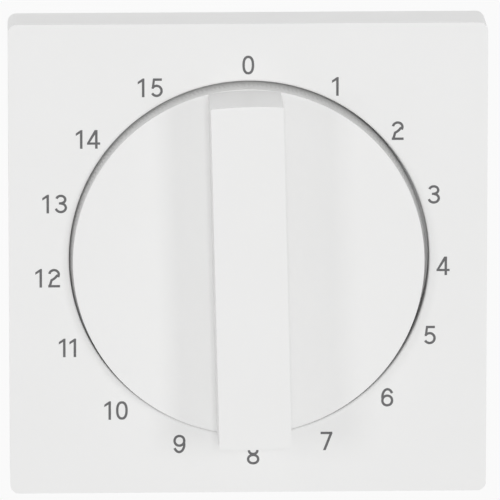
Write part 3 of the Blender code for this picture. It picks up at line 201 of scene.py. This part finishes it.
# Camera, solved from the photograph's edges
VIEW_AZIMUTH = math.radians(-1.84)
VIEW_ELEVATION = math.radians(11.62)
VIEW_DISTANCE = 1.345
VIEW_LENS = 661.4
SENSOR_WIDTH = 36.0
FRAMING_RIGHT = 0.00025
FRAMING_UP = 0.00133
CLIP_START = 0.1
CLIP_END = 20.0

# Surround: its strength in front of the part and behind it, and how far to each side of
# the middle the change between them reaches
FRONT_STRENGTH = 0.475
BACK_STRENGTH = 0.957
STRENGTH_REACH = 0.6

# Lights: name, azimuth and elevation in degrees, distance and size in metres, and watts
LIGHTS = (
    ("front_light", 0, 8.5, 1.8, (0.22, 0.36), 7.7),
    ("right_light", 28, 8, 1.5, (0.30, 0.40), 2.4),
    ("left_light", -36, 8, 1.5, (0.30, 0.40), 2.0),
)

# Floor, well below the part
FLOOR_DROP = 0.500
FLOOR_HALF = 0.450
FLOOR_COLOUR = (0.90, 0.90, 0.90)
FLOOR_CLOUD_COLOUR = (0.89, 0.89, 0.89)
FLOOR_CLOUD_SIZE = 0.2
FLOOR_ROUGHNESS = 0.9

# Moulded plastics: slot, two colours, roughness, size of the grain and its depth
PLASTICS = (
    ("white_plastic", (0.880, 0.880, 0.876), (0.872, 0.872, 0.867), 0.42, 0.00018, 0.000004),
    ("grey_plastic", (0.085, 0.088, 0.092), (0.070, 0.073, 0.077), 0.52, 0.00025, 0.000012),
    ("natural_plastic", (0.640, 0.600, 0.470), (0.600, 0.550, 0.410), 0.45, 0.0003, 0.000005),
)

# Metals: slot, two colours, roughness, depth of the lines and their stretch along the axes
METALS = (
    ("zinc_steel", (0.560, 0.575, 0.590), (0.470, 0.490, 0.515), 0.38, 0.000004, (30, 1, 1)),
    ("bright_steel", (0.620, 0.620, 0.610), (0.530, 0.535, 0.535), 0.27, 0.000003, (1, 12, 1)),
    ("spring_steel", (0.200, 0.230, 0.280), (0.130, 0.150, 0.200), 0.30, 0.000003, (12, 1, 12)),
    ("brass", (0.720, 0.520, 0.220), (0.590, 0.390, 0.140), 0.30, 0.000004, (16, 1, 1)),
    ("contact_bronze", (0.660, 0.380, 0.200), (0.520, 0.270, 0.130), 0.32, 0.000004, (1, 1, 16)),
)


def polar(centre, radius, angle):
    return (centre[0] + radius * math.cos(angle), centre[1] + radius * math.sin(angle))


def arc(centre, radius, start, end, steps):
    return [
        polar(centre, radius, start + (end - start) * step / steps) for step in range(steps + 1)
    ]


def ellipse_arc(centre, radii, start, end, steps=GLYPH_ARC_STEPS):
    """Points along an ellipse, with its angles in degrees."""
    points = []
    for step in range(steps + 1):
        angle = math.radians(start + (end - start) * step / steps)
        points.append(
            (centre[0] + radii[0] * math.cos(angle), centre[1] + radii[1] * math.sin(angle))
        )
    return points


def circle(radius, steps, centre=(0.0, 0.0)):
    return arc(centre, radius, 0.0, math.tau * (steps - 1) / steps, steps - 1)


def rounded_square(half, radius, steps):
    loop = []
    for quarter in range(4):
        start = quarter * math.pi / 2
        corner = polar((0.0, 0.0), (half - radius) * math.sqrt(2), start + math.pi / 4)
        loop += arc(corner, radius, start, start + math.pi / 2, steps)
    return loop


def band_loop(path, thickness):
    """The outline of a band of even thickness along a path, with its ends cut square."""
    points = [Vector(point) for point in path]
    last = len(points) - 1
    left = []
    right = []
    for index, point in enumerate(points):
        ahead = (points[min(index + 1, last)] - point).normalized()
        behind = (point - points[max(index - 1, 0)]).normalized()
        if index == 0:
            behind = ahead
        if index == last:
            ahead = behind
        along = (ahead + behind).normalized()
        mitre = max(along.dot(ahead), MITRE_LIMIT)
        across = Vector((-along.y, along.x)) * (thickness / 2 / mitre)
        left.append(tuple(point + across))
        right.append(tuple(point - across))
    return left[::-1] + right


def link(obj):
    bpy.context.scene.collection.objects.link(obj)
    return obj


def slab(name, loops, y_front, y_rear):
    """A flat outline with holes, from loops of (x, z) points, as thick as y_front to y_rear."""
    curve = bpy.data.curves.new(name, "CURVE")
    curve.dimensions = "2D"
    curve.fill_mode = "BOTH"
    curve.extrude = (y_rear - y_front) / 2 * DRAW_SCALE
    for loop in loops:
        spline = curve.splines.new("POLY")
        spline.points.add(len(loop) - 1)
        for point, (x, z) in zip(spline.points, loop):
            point.co = (x * DRAW_SCALE, z * DRAW_SCALE, 0.0, 1.0)
        spline.use_cyclic_u = True
    drawing = link(bpy.data.objects.new(name + "_outline", curve))
    evaluated = drawing.evaluated_get(bpy.context.evaluated_depsgraph_get())
    mesh = bpy.data.meshes.new_from_object(evaluated)
    mesh.name = name
    bpy.data.objects.remove(drawing, do_unlink=True)
    bpy.data.curves.remove(curve)
    middle = Matrix.Translation((0.0, (y_front + y_rear) / 2, 0.0))
    mesh.transform(middle @ FACE_FRONT @ Matrix.Scale(1 / DRAW_SCALE, 4))
    edit = bmesh.new()
    edit.from_mesh(mesh)
    bmesh.ops.remove_doubles(edit, verts=edit.verts, dist=WELD_DISTANCE)
    bmesh.ops.dissolve_limit(edit, angle_limit=FLAT_ANGLE, verts=edit.verts, edges=edit.edges)
    edit.to_mesh(mesh)
    edit.free()
    return link(bpy.data.objects.new(name, mesh))


def turned(name, profile, centre=(0.0, 0.0), steps=SMALL_STEPS, hollow=False):
    """A solid of revolution about Y from (radius, y) points, front to rear on its outer side."""
    mesh = bpy.data.meshes.new(name)
    edit = bmesh.new()
    verts = [edit.verts.new((radius, 0.0, -y)) for radius, y in profile]
    ends = list(zip(verts, verts[1:]))
    if hollow:
        ends.append((verts[-1], verts[0]))
    for pair in ends:
        edit.edges.new(pair)
    edit.to_mesh(mesh)
    edit.free()
    obj = link(bpy.data.objects.new(name, mesh))
    screw = obj.modifiers.new("revolve", "SCREW")
    screw.axis = "Z"
    screw.steps = steps
    screw.render_steps = steps
    screw.use_merge_vertices = True
    screw.merge_threshold = WELD_DISTANCE
    bake(obj)
    obj.data.transform(Matrix.Translation((centre[0], 0.0, centre[1])) @ FACE_FRONT)
    return obj


def rod(name, radius, y_front, y_rear, steps=SMALL_STEPS):
    profile = [(0.0, y_front), (radius, y_front), (radius, y_rear), (0.0, y_rear)]
    return turned(name, profile, steps=steps)


def box(name, low, high):
    mesh = bpy.data.meshes.new(name)
    edit = bmesh.new()
    bmesh.ops.create_cube(edit, size=1.0)
    edit.to_mesh(mesh)
    edit.free()
    size = [b - a for a, b in zip(low, high)]
    middle = [(a + b) / 2 for a, b in zip(low, high)]
    mesh.transform(Matrix.Translation(middle) @ Matrix.Diagonal((*size, 1.0)))
    return link(bpy.data.objects.new(name, mesh))


def bake(obj):
    """Turn an object's modifiers into its mesh."""
    bpy.context.view_layer.update()
    evaluated = obj.evaluated_get(bpy.context.evaluated_depsgraph_get())
    mesh = bpy.data.meshes.new_from_object(evaluated)
    old = obj.data
    obj.modifiers.clear()
    obj.data = mesh
    mesh.name = obj.name
    bpy.data.meshes.remove(old)


def shape_with(target, operation, tools):
    for tool in tools:
        modifier = target.modifiers.new(tool.name, "BOOLEAN")
        modifier.operation = operation
        modifier.solver = "EXACT"
        modifier.object = tool
    bake(target)
    for tool in tools:
        bpy.data.objects.remove(tool, do_unlink=True)


def join(target, *tools):
    shape_with(target, "UNION", tools)


def cut(target, *tools):
    shape_with(target, "DIFFERENCE", tools)


def round_front_rim(obj, radius, segments):
    """Round the rim of a slab's front face."""
    mesh = obj.data
    front = min(vertex.co.y for vertex in mesh.vertices)
    weights = mesh.attributes.new("bevel_weight_edge", "FLOAT", "EDGE")
    for edge in mesh.edges:
        depths = [mesh.vertices[index].co.y for index in edge.vertices]
        weights.data[edge.index].value = float(max(depths) < front + WELD_DISTANCE)
    bevel = obj.modifiers.new("rounded_rim", "BEVEL")
    bevel.limit_method = "WEIGHT"
    bevel.width = radius
    bevel.segments = segments
    bake(obj)
    obj.data.attributes.remove(obj.data.attributes["bevel_weight_edge"])


def dress(obj, finish):
    """Give an object its finish, smooth rounds and flat faces that stay flat."""
    obj.data.materials.clear()
    obj.data.materials.append(finish)
    obj.data.shade_smooth()
    obj.data.set_sharp_from_angle(angle=SMOOTH_ANGLE)
    flatten = obj.modifiers.new("flat_faces", "WEIGHTED_NORMAL")
    flatten.keep_sharp = True


def stand_for(obj, node, finish):
    """Show a finely made piece in place of a CAD node."""
    body = frame["nodes"][node]["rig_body"]
    dress(obj, finish)
    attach(obj, body)
    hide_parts(node)


class Finish:
    """A material that is built from noise on the object's own coordinates, in metres."""

    def __init__(self, name, colour, roughness, metallic):
        self.material = bpy.data.materials.new(name)
        self.material.use_nodes = True
        self.material.diffuse_color = (*colour, 1.0)
        self.tree = self.material.node_tree
        self.shader = self.tree.nodes["Principled BSDF"]
        self.colour = colour
        self.shader.inputs["Base Color"].default_value = (*colour, 1.0)
        self.shader.inputs["Roughness"].default_value = roughness
        self.shader.inputs["Metallic"].default_value = metallic
        self.place = self.tree.nodes.new("ShaderNodeTexCoord")

    def noise(self, size, detail, stretch=(1.0, 1.0, 1.0)):
        """Noise with features of about this size in metres, drawn out along the axes."""
        mapping = self.tree.nodes.new("ShaderNodeMapping")
        mapping.inputs["Scale"].default_value = [1.0 / amount for amount in stretch]
        self.tree.links.new(self.place.outputs["Object"], mapping.inputs["Vector"])
        texture = self.tree.nodes.new("ShaderNodeTexNoise")
        texture.inputs["Scale"].default_value = 1.0 / size
        texture.inputs["Detail"].default_value = detail
        self.tree.links.new(mapping.outputs["Vector"], texture.inputs["Vector"])
        return texture.outputs["Fac"]

    def spread(self, source, low, high):
        """Stretch a noise's middle range to run from low to high."""
        ramp = self.tree.nodes.new("ShaderNodeMapRange")
        ramp.inputs["From Min"].default_value = NOISE_LOW
        ramp.inputs["From Max"].default_value = NOISE_HIGH
        ramp.inputs["To Min"].default_value = low
        ramp.inputs["To Max"].default_value = high
        self.tree.links.new(source, ramp.inputs["Value"])
        return ramp.outputs["Result"]

    def tint(self, source, other):
        """Let the colour wander from the finish's own towards another."""
        mix = self.tree.nodes.new("ShaderNodeMix")
        mix.data_type = "RGBA"
        mix.inputs["A"].default_value = (*self.colour, 1.0)
        mix.inputs["B"].default_value = (*other, 1.0)
        self.tree.links.new(self.spread(source, 0.0, 1.0), mix.inputs["Factor"])
        self.tree.links.new(mix.outputs["Result"], self.shader.inputs["Base Color"])

    def gloss(self, source, low, high):
        self.tree.links.new(self.spread(source, low, high), self.shader.inputs["Roughness"])

    def relief(self, source, depth, strength):
        bump = self.tree.nodes.new("ShaderNodeBump")
        bump.inputs["Distance"].default_value = depth
        bump.inputs["Strength"].default_value = strength
        self.tree.links.new(source, bump.inputs["Height"])
        self.tree.links.new(bump.outputs["Normal"], self.shader.inputs["Normal"])


def moulded_plastic(name, colour, other, roughness, grain, depth):
    """Moulded plastic: faint clouds in the colour and a fine spark-eroded grain."""
    cloud_size, sheen_size = 0.012, 0.0030
    smoother, rougher = roughness - 0.03, roughness + 0.04
    finish = Finish(name, colour, roughness, metallic=0.0)
    finish.tint(finish.noise(cloud_size, detail=2.0), other)
    finish.gloss(finish.noise(sheen_size, detail=4.0), smoother, rougher)
    finish.relief(finish.noise(grain, detail=2.0), depth, strength=0.35)
    return finish.material


def rolled_metal(name, colour, other, roughness, depth, stretch):
    """Rolled or drawn metal: fine lines along one axis and slow clouds of tarnish."""
    cloud_size, line_size = 0.0050, 0.00012
    smoother, rougher = roughness - 0.07, roughness + 0.10
    finish = Finish(name, colour, roughness, metallic=1.0)
    finish.tint(finish.noise(cloud_size, detail=4.0), other)
    lines = finish.noise(line_size, detail=4.0, stretch=stretch)
    finish.gloss(lines, smoother, rougher)
    finish.relief(lines, depth, strength=0.25)
    return finish.material


def make_finishes():
    """Each slot's material."""
    finishes = {row[0]: moulded_plastic(*row) for row in PLASTICS}
    finishes.update({row[0]: rolled_metal(*row) for row in METALS})
    return finishes


def make_ink():
    """Printing ink: faint blots in the colour and a fine grain."""
    blot_size, grain_size, grain_depth = 0.0006, 0.00008, 0.000003
    finish = Finish("print_grey", (0.115, 0.115, 0.118), roughness=0.55, metallic=0.0)
    finish.tint(finish.noise(blot_size, detail=3.0), (0.140, 0.140, 0.143))
    finish.relief(finish.noise(grain_size, detail=2.0), grain_depth, strength=0.4)
    return finish.material


def well_profile():
    """The cutter for the round well, whose rim is slightly rounded."""
    centre = (WELL_RADIUS + WELL_EDGE, PLATE_FRONT + WELL_EDGE)
    rim = arc(centre, WELL_EDGE, -math.pi / 2, -math.pi, WELL_EDGE_STEPS)
    return [
        (0.0, PLATE_FRONT - BEYOND),
        (WELL_RADIUS + WELL_EDGE, PLATE_FRONT - BEYOND),
        *rim,
        (WELL_RADIUS, WELL_FLOOR_FRONT),
        (0.0, WELL_FLOOR_FRONT),
    ]


def make_cover_plate(finish):
    well_outer = WELL_RADIUS + WELL_WALL
    inner_half = PLATE_HALF - PLATE_WALL
    outline = rounded_square(PLATE_HALF, PLATE_CORNER, CORNER_STEPS)
    plate = slab("cover", [outline], PLATE_FRONT, PLATE_REAR)
    round_front_rim(plate, PLATE_EDGE, PLATE_EDGE_STEPS)
    inner_outline = rounded_square(inner_half, PLATE_EDGE, INNER_CORNER_STEPS)
    hollow = slab(
        "cover_hollow",
        [inner_outline, circle(well_outer, ROUND_STEPS)],
        PLATE_FRONT + PLATE_FRONT_WALL,
        PLATE_REAR + BEYOND,
    )
    bosses = [
        circle(COVER_BOSS_RADIUS, SMALL_STEPS, (side * COVER_SCREW_OFFSET, 0.0))
        for side in (-1, 1)
    ]
    under_floor = slab(
        "cover_under_floor",
        [circle(well_outer + BITE, ROUND_STEPS), *bosses],
        WELL_FLOOR_REAR,
        PLATE_REAR + BEYOND,
    )
    cut(plate, hollow, under_floor)
    ribs = []
    for corner in range(4):
        angle = (corner + 0.5) * math.pi / 2
        start = polar((0.0, 0.0), well_outer - BITE, angle)
        end = polar((0.0, 0.0), (inner_half + BITE) * math.sqrt(2), angle)
        rib = slab(
            "cover_rib_%d" % corner,
            [band_loop([start, end], PLATE_RIB)],
            PLATE_FRONT + PLATE_FRONT_WALL / 2,
            PLATE_REAR - PLATE_WALL,
        )
        ribs.append(rib)
    join(plate, *ribs)
    well = turned("cover_well", well_profile(), WELL_PLACE, ROUND_STEPS)
    shaft_hole = rod(
        "cover_shaft_hole", SHAFT_HOLE_RADIUS, WELL_FLOOR_FRONT - BEYOND, PLATE_REAR
    )
    cut(plate, well, shaft_hole)
    head = COVER_SCREW_HEAD + FIT_GAP
    shank = COVER_SCREW_RADIUS + FIT_GAP
    countersink = [
        (0.0, WELL_FLOOR_FRONT - BEYOND),
        (head, WELL_FLOOR_FRONT - BEYOND),
        (head, WELL_FLOOR_FRONT),
        (shank, WELL_FLOOR_FRONT + head - shank),
        (shank, PLATE_REAR + BEYOND),
        (0.0, PLATE_REAR + BEYOND),
    ]
    holes = [
        turned("cover_screw_hole_%s" % name, countersink, (side * COVER_SCREW_OFFSET, 0.0))
        for name, side in (("left", -1), ("right", 1))
    ]
    cut(plate, *holes)
    stand_for(plate, "cover_plate", finish)


def knob_loops():
    """Outlines of the disc and of the bar, which share their points at the bar's ends."""
    end_half_angle = math.asin(BAR_WIDTH / 2 / KNOB_RADIUS)
    ends = []
    sides = []
    for turn in (0.5, 1.5):
        middle = turn * math.pi
        low = middle - end_half_angle
        high = middle + end_half_angle
        ends.append(arc((0.0, 0.0), KNOB_RADIUS, low, high, BAR_END_STEPS))
        side = arc((0.0, 0.0), KNOB_RADIUS, high, low + math.pi, DISC_SIDE_STEPS)
        sides.append(side[1:-1])
    return ends[0] + sides[0] + ends[1] + sides[1], ends[0] + ends[1]


def bar_pocket(half_width, radius):
    """The outline of the bar's hollow, whose ends are round about the knob's axis."""
    reach = math.asin(half_width / radius)
    loop = []
    for turn in (0.5, 1.5):
        middle = turn * math.pi
        loop += arc((0.0, 0.0), radius, middle - reach, middle + reach, POCKET_END_STEPS)
    return loop


def make_bar(outline):
    """The bar's ends are flush with the disc at their foot and straighter at the front."""
    bar = slab("knob_bar", [outline], BAR_FRONT, (DISC_FRONT + DISC_REAR) / 2)
    corner = max(abs(vertex.co.x) for vertex in bar.data.vertices)
    straight = math.sqrt(KNOB_RADIUS**2 - corner**2)
    for vertex in bar.data.vertices:
        bulge = abs(vertex.co.z) - straight
        if vertex.co.y < DISC_FRONT and bulge > 0.0:
            vertex.co.z -= math.copysign(bulge * (1 - BAR_FRONT_BULGE), vertex.co.z)
    round_front_rim(bar, BAR_EDGE, BAR_EDGE_STEPS)
    return bar


def d_loop(radius, flat):
    """A circle with one flat side, at the top."""
    half = math.acos(flat / radius)
    return arc((0.0, 0.0), radius, math.pi / 2 + half, math.pi * 2.5 - half, MEDIUM_STEPS)


def make_skirt():
    """The disc's edge flares a little inside the well, which narrows the gap to its wall."""
    flared = KNOB_RADIUS + SKIRT_FLARE
    profile = [
        (0.0, PLATE_FRONT),
        (KNOB_RADIUS - WELD_DISTANCE, PLATE_FRONT),
        (flared, PLATE_FRONT + SKIRT_SLOPE),
        (flared, DISC_REAR),
        (0.0, DISC_REAR),
    ]
    return turned("knob_skirt", profile, steps=ROUND_STEPS)


def make_knob(finish):
    disc_outline, bar_outline = knob_loops()
    inner_radius = KNOB_RADIUS - KNOB_WALL
    disc_inner = DISC_FRONT + KNOB_FRONT_WALL
    knob = slab("timer_knob", [disc_outline], DISC_FRONT, DISC_REAR)
    round_front_rim(knob, KNOB_EDGE, KNOB_EDGE_STEPS)
    join(knob, make_bar(bar_outline), make_skirt())
    disc_hollow = rod(
        "knob_disc_hollow", inner_radius, disc_inner, DISC_REAR + BEYOND, steps=ROUND_STEPS
    )
    bar_hollow = slab(
        "knob_bar_hollow",
        [bar_pocket(BAR_WIDTH / 2 - BAR_WALL, inner_radius - BITE)],
        BAR_FRONT + KNOB_FRONT_WALL,
        disc_inner + BEYOND,
    )
    cut(knob, disc_hollow, bar_hollow)
    hub_rear = DISC_REAR - SEAT_GAP
    hub_front = BAR_FRONT + KNOB_FRONT_WALL / 2
    rib_reach = inner_radius + KNOB_WALL / 2
    rib_rear = disc_inner + KNOB_RIB_DEPTH
    join(
        knob,
        rod("knob_hub", HUB_RADIUS, hub_front, hub_rear, steps=MEDIUM_STEPS),
        box(
            "knob_rib_flat",
            (-rib_reach, disc_inner - BITE, -KNOB_RIB / 2),
            (rib_reach, rib_rear, KNOB_RIB / 2),
        ),
        box(
            "knob_rib_long",
            (-KNOB_RIB / 2, hub_front, -rib_reach),
            (KNOB_RIB / 2, rib_rear + BITE, rib_reach),
        ),
    )
    bore = slab(
        "knob_bore",
        [d_loop(SHAFT_RADIUS + FIT_GAP, SHAFT_FLAT + FIT_GAP)],
        SHAFT_FRONT - RUN_GAP,
        hub_rear + BEYOND,
    )
    groove = hub_rear - CLIP_WIRE
    half_groove = CLIP_WIRE / 2 + FIT_GAP
    ring = [
        (HUB_RADIUS + BEYOND, groove - half_groove),
        (HUB_RADIUS + BEYOND, groove + half_groove),
        (HUB_RADIUS - CLIP_GROOVE, groove + half_groove),
        (HUB_RADIUS - CLIP_GROOVE, groove - half_groove),
    ]
    cut(knob, bore, turned("knob_groove", ring, steps=MEDIUM_STEPS, hollow=True))
    knob.data.transform(Matrix.Rotation(KNOB_ANGLE, 4, "Y"))
    stand_for(knob, "knob", finish)


def ring_loops(centre, radii, squareness):
    """Outer and inner outline of a closed oval stroke; a squareness of 2 is an ellipse."""
    loops = []
    for inset in (0.0, STROKE):
        loop = []
        for step in range(SMALL_STEPS):
            angle = math.tau * step / SMALL_STEPS
            cosine = math.cos(angle)
            sine = math.sin(angle)
            across = math.copysign(abs(cosine) ** (2 / squareness), cosine)
            along = math.copysign(abs(sine) ** (2 / squareness), sine)
            loop.append(
                (centre[0] + (radii[0] - inset) * across, centre[1] + (radii[1] - inset) * along)
            )
        loops.append(loop)
    return loops


def glyph_strokes(digit):
    """A digit's strokes, each a list of loops, one unit high, and the digit's width."""
    half = STROKE / 2
    if digit == 0:
        return [ring_loops((0.31, 0.5), (0.31, 0.5), ZERO_SQUARENESS)], 0.62
    if digit == 1:
        stem = [(0.22, 0.0), (0.35, 0.0), (0.35, 1.0), (0.26, 1.0)]
        return [[stem + [(0.0, 0.82), (0.0, 0.69), (0.22, 0.825)]]], 0.35
    if digit == 2:
        path = ellipse_arc((0.31, 0.70), (0.25, 0.235), 172, -22)
        path += ellipse_arc((-0.18, 0.98), (0.753, 0.67), -26, -62, GLYPH_FOOT_STEPS)[1:]
        path.append((0.09, STROKE * 0.7))
        base = [(0.0, 0.0), (0.62, 0.0), (0.62, STROKE), (0.0, STROKE)]
        return [[band_loop(path, STROKE)], [base]], 0.62
    if digit == 3:
        upper = ellipse_arc((0.31, 0.735), (0.235, 0.20), 165, -90)
        lower = ellipse_arc((0.31, 0.295), (0.265, 0.23), 90, -168)
        bar = [(0.21, 0.47), (0.33, 0.47), (0.33, 0.59), (0.21, 0.59)]
        return [[band_loop(upper, STROKE)], [band_loop(lower, STROKE)], [bar]], 0.64
    if digit == 4:
        stem = [(0.425, 0.0), (0.555, 0.0), (0.555, 1.0), (0.425, 1.0)]
        cross = [(0.0, 0.215), (0.69, 0.215), (0.69, 0.335), (0.0, 0.335)]
        slope = [(0.0, 0.30), (0.13, 0.30), (0.485, 0.86), (0.485, 1.0), (0.405, 1.0)]
        return [[stem], [cross], [slope]], 0.69
    if digit == 5:
        top = [(0.115, 1.0 - STROKE), (0.585, 1.0 - STROKE), (0.585, 1.0), (0.115, 1.0)]
        side = [(0.045, 0.44), (0.165, 0.46), (0.235, 1.0), (0.115, 1.0)]
        bowl = ellipse_arc((0.305, 0.335), (0.265, 0.27), 148, -152)
        return [[top], [side], [band_loop(bowl, STROKE)]], 0.635
    if digit == 6:
        bowl = ring_loops((0.32, 0.325), (0.32, 0.325), BOWL_SQUARENESS)
        neck = ellipse_arc((0.335, 0.53), (0.335 - half, 0.47 - half), 28, 196)
        return [bowl, [band_loop(neck, STROKE)]], 0.64
    if digit == 7:
        top = [(0.0, 1.0 - STROKE), (0.62, 1.0 - STROKE), (0.62, 1.0), (0.0, 1.0)]
        slope = [(0.13, 0.0), (0.27, 0.0), (0.62, 0.90), (0.62, 1.0), (0.515, 1.0)]
        return [[top], [slope]], 0.62
    if digit == 8:
        upper = ring_loops((0.33, 0.755), (0.285, 0.245), BOWL_SQUARENESS)
        lower = ring_loops((0.33, 0.29), (0.33, 0.29), BOWL_SQUARENESS)
        return [upper, lower], 0.66
    # The 9 is a 6 turned over
    strokes, width = glyph_strokes(6)
    turned_over = [
        [[(width - x, 1.0 - y) for x, y in loop] for loop in loops] for loops in strokes
    ]
    return turned_over, width


def make_glyph(digit):
    """One digit as a thin raised solid at the origin, and its width."""
    strokes, width = glyph_strokes(digit)
    solids = []
    for number, loops in enumerate(strokes):
        scaled = [[(x * DIGIT_HEIGHT, z * DIGIT_HEIGHT) for x, z in loop] for loop in loops]
        name = "glyph_%d_%d" % (digit, number)
        solids.append(slab(name, scaled, PLATE_FRONT - INK_HEIGHT, PLATE_FRONT + INK_HEIGHT))
    if len(solids) > 1:
        join(solids[0], *solids[1:])
    return solids[0], width * DIGIT_HEIGHT


def number_corner(degrees, width, clearance):
    """A number's lower left corner, when its box keeps the clearance to the dial's centre."""
    angle = math.radians(degrees)
    radius = clearance
    for _ in range(CLEARANCE_ROUNDS):
        across = abs(radius * math.sin(angle)) - width / 2
        along = abs(radius * math.cos(angle)) - DIGIT_HEIGHT / 2
        radius += clearance - math.hypot(max(across, 0.0), max(along, 0.0))
    left = radius * math.sin(angle) - width / 2
    return left, DIAL_CENTRE_Z + radius * math.cos(angle) - DIGIT_HEIGHT / 2


def make_numbers(finish):
    """The numbers 0 to 15 round the well, upright, as one printed piece."""
    glyphs = {digit: make_glyph(digit) for digit in range(10)}
    edit = bmesh.new()
    for number, degrees in enumerate(DIAL_DEGREES):
        digits = [int(sign) for sign in str(number)]
        places = [0.0]
        if len(digits) == 2:
            places.append(glyphs[1][1] + GAPS_AFTER_ONE[digits[1]] * DIGIT_HEIGHT)
        width = places[-1] + glyphs[digits[-1]][1]
        clearance = DIAL_CLEARANCE + DIAL_SHIFTS.get(number, 0.0)
        left, low = number_corner(degrees, width, clearance)
        for digit, place in zip(digits, places):
            mesh = glyphs[digit][0].data.copy()
            mesh.transform(Matrix.Translation((left + place, 0.0, low)))
            edit.from_mesh(mesh)
            bpy.data.meshes.remove(mesh)
    for glyph, _ in glyphs.values():
        bpy.data.objects.remove(glyph, do_unlink=True)
    mesh = bpy.data.meshes.new("dial_numbers")
    edit.to_mesh(mesh)
    edit.free()
    numbers = link(bpy.data.objects.new("dial_numbers", mesh))
    numbers.data.materials.append(finish)
    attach(numbers, "base")


def soften_edges(obj):
    """Weld a node's triangles and round its sharp edges a little."""
    weld = obj.modifiers.new("weld", "WELD")
    weld.merge_threshold = NODE_WELD
    bevel = obj.modifiers.new("edges", "BEVEL")
    bevel.width = NODE_EDGE
    bevel.segments = NODE_EDGE_STEPS
    bevel.limit_method = "ANGLE"
    bevel.angle_limit = NODE_EDGE_ANGLE


def make_leaves(finish):
    """The switch's leaf springs, copied from their nodes with small rounded edges."""
    for side in ("left", "right"):
        node = "blade_" + side
        leaf = link(bpy.data.objects.new("leaf_" + side, frame["nodes"][node].data.copy()))
        soften_edges(leaf)
        bake(leaf)
        stand_for(leaf, node, finish)
        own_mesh(leaf)


def dress_cad_nodes(finishes):
    """Carried-over nodes keep their form, with small rounded edges and their slot's finish."""
    replaced = {"cover_plate", "knob", "blade_left", "blade_right"}
    slots = {part["node"]: part["material_slot"] for part in frame["record"]["subparts"]}
    for name, obj in frame["nodes"].items():
        if name in replaced:
            continue
        obj.data.materials.clear()
        obj.data.materials.append(finishes[slots[name]])
        soften_edges(obj)


def make_floor():
    mesh = bpy.data.meshes.new("floor")
    edit = bmesh.new()
    bmesh.ops.create_grid(edit, x_segments=1, y_segments=1, size=FLOOR_HALF)
    edit.to_mesh(mesh)
    edit.free()
    floor = link(bpy.data.objects.new("floor", mesh))
    floor.location.z = CAD_BOX[0].z - FLOOR_DROP
    finish = Finish("floor_paint", FLOOR_COLOUR, FLOOR_ROUGHNESS, metallic=0.0)
    finish.tint(finish.noise(FLOOR_CLOUD_SIZE, detail=2.0), FLOOR_CLOUD_COLOUR)
    mesh.materials.append(finish.material)


def make_world():
    """Soft studio surround: a bright backdrop behind the part and a dimmer room in front."""
    world = bpy.data.worlds.new("studio")
    bpy.context.scene.world = world
    world.use_nodes = True
    tree = world.node_tree
    background = tree.nodes["Background"]
    place = tree.nodes.new("ShaderNodeTexCoord")
    split = tree.nodes.new("ShaderNodeSeparateXYZ")
    tree.links.new(place.outputs["Generated"], split.inputs["Vector"])
    depth = tree.nodes.new("ShaderNodeMapRange")
    depth.inputs["From Min"].default_value = -STRENGTH_REACH
    depth.inputs["From Max"].default_value = STRENGTH_REACH
    depth.inputs["To Min"].default_value = FRONT_STRENGTH
    depth.inputs["To Max"].default_value = BACK_STRENGTH
    tree.links.new(split.outputs["Y"], depth.inputs["Value"])
    tree.links.new(depth.outputs["Result"], background.inputs["Strength"])
    background.inputs["Color"].default_value = (1.0, 1.0, 1.0, 1.0)


def view_direction(azimuth, elevation):
    """From the object towards a viewer: azimuth 0 is in front, positive to the right."""
    flat = math.cos(elevation)
    return Vector((math.sin(azimuth) * flat, -math.cos(azimuth) * flat, math.sin(elevation)))


def soft_light(name, azimuth, elevation, distance, size, watts):
    light = bpy.data.lights.new(name, "AREA")
    light.shape = "RECTANGLE"
    light.size, light.size_y = size
    light.energy = watts
    lamp = link(bpy.data.objects.new(name, light))
    towards = view_direction(math.radians(azimuth), math.radians(elevation))
    lamp.location = towards * distance
    lamp.rotation_euler = towards.to_track_quat("Z", "Y").to_euler()
    lamp.visible_camera = False


def make_camera():
    camera = bpy.data.cameras.new("camera")
    camera.lens = VIEW_LENS
    camera.sensor_width = SENSOR_WIDTH
    camera.clip_start = CLIP_START
    camera.clip_end = CLIP_END
    holder = link(bpy.data.objects.new("camera", camera))
    back = view_direction(VIEW_AZIMUTH, VIEW_ELEVATION)
    holder.rotation_euler = back.to_track_quat("Z", "Y").to_euler()
    bpy.context.view_layer.update()
    right = holder.matrix_world.col[0].to_3d()
    up = holder.matrix_world.col[1].to_3d()
    aim = Vector((0.0, PLATE_FRONT, 0.0)) + right * FRAMING_RIGHT + up * FRAMING_UP
    holder.location = aim + back * VIEW_DISTANCE
    bpy.context.scene.camera = holder


def main():
    bpy.context.scene.view_settings.view_transform = "Standard"
    finishes = make_finishes()
    dress_cad_nodes(finishes)
    make_cover_plate(finishes["white_plastic"])
    make_knob(finishes["white_plastic"])
    make_leaves(finishes["contact_bronze"])
    make_numbers(make_ink())
    make_floor()
    make_world()
    for light in LIGHTS:
        soft_light(*light)
    make_camera()


main()
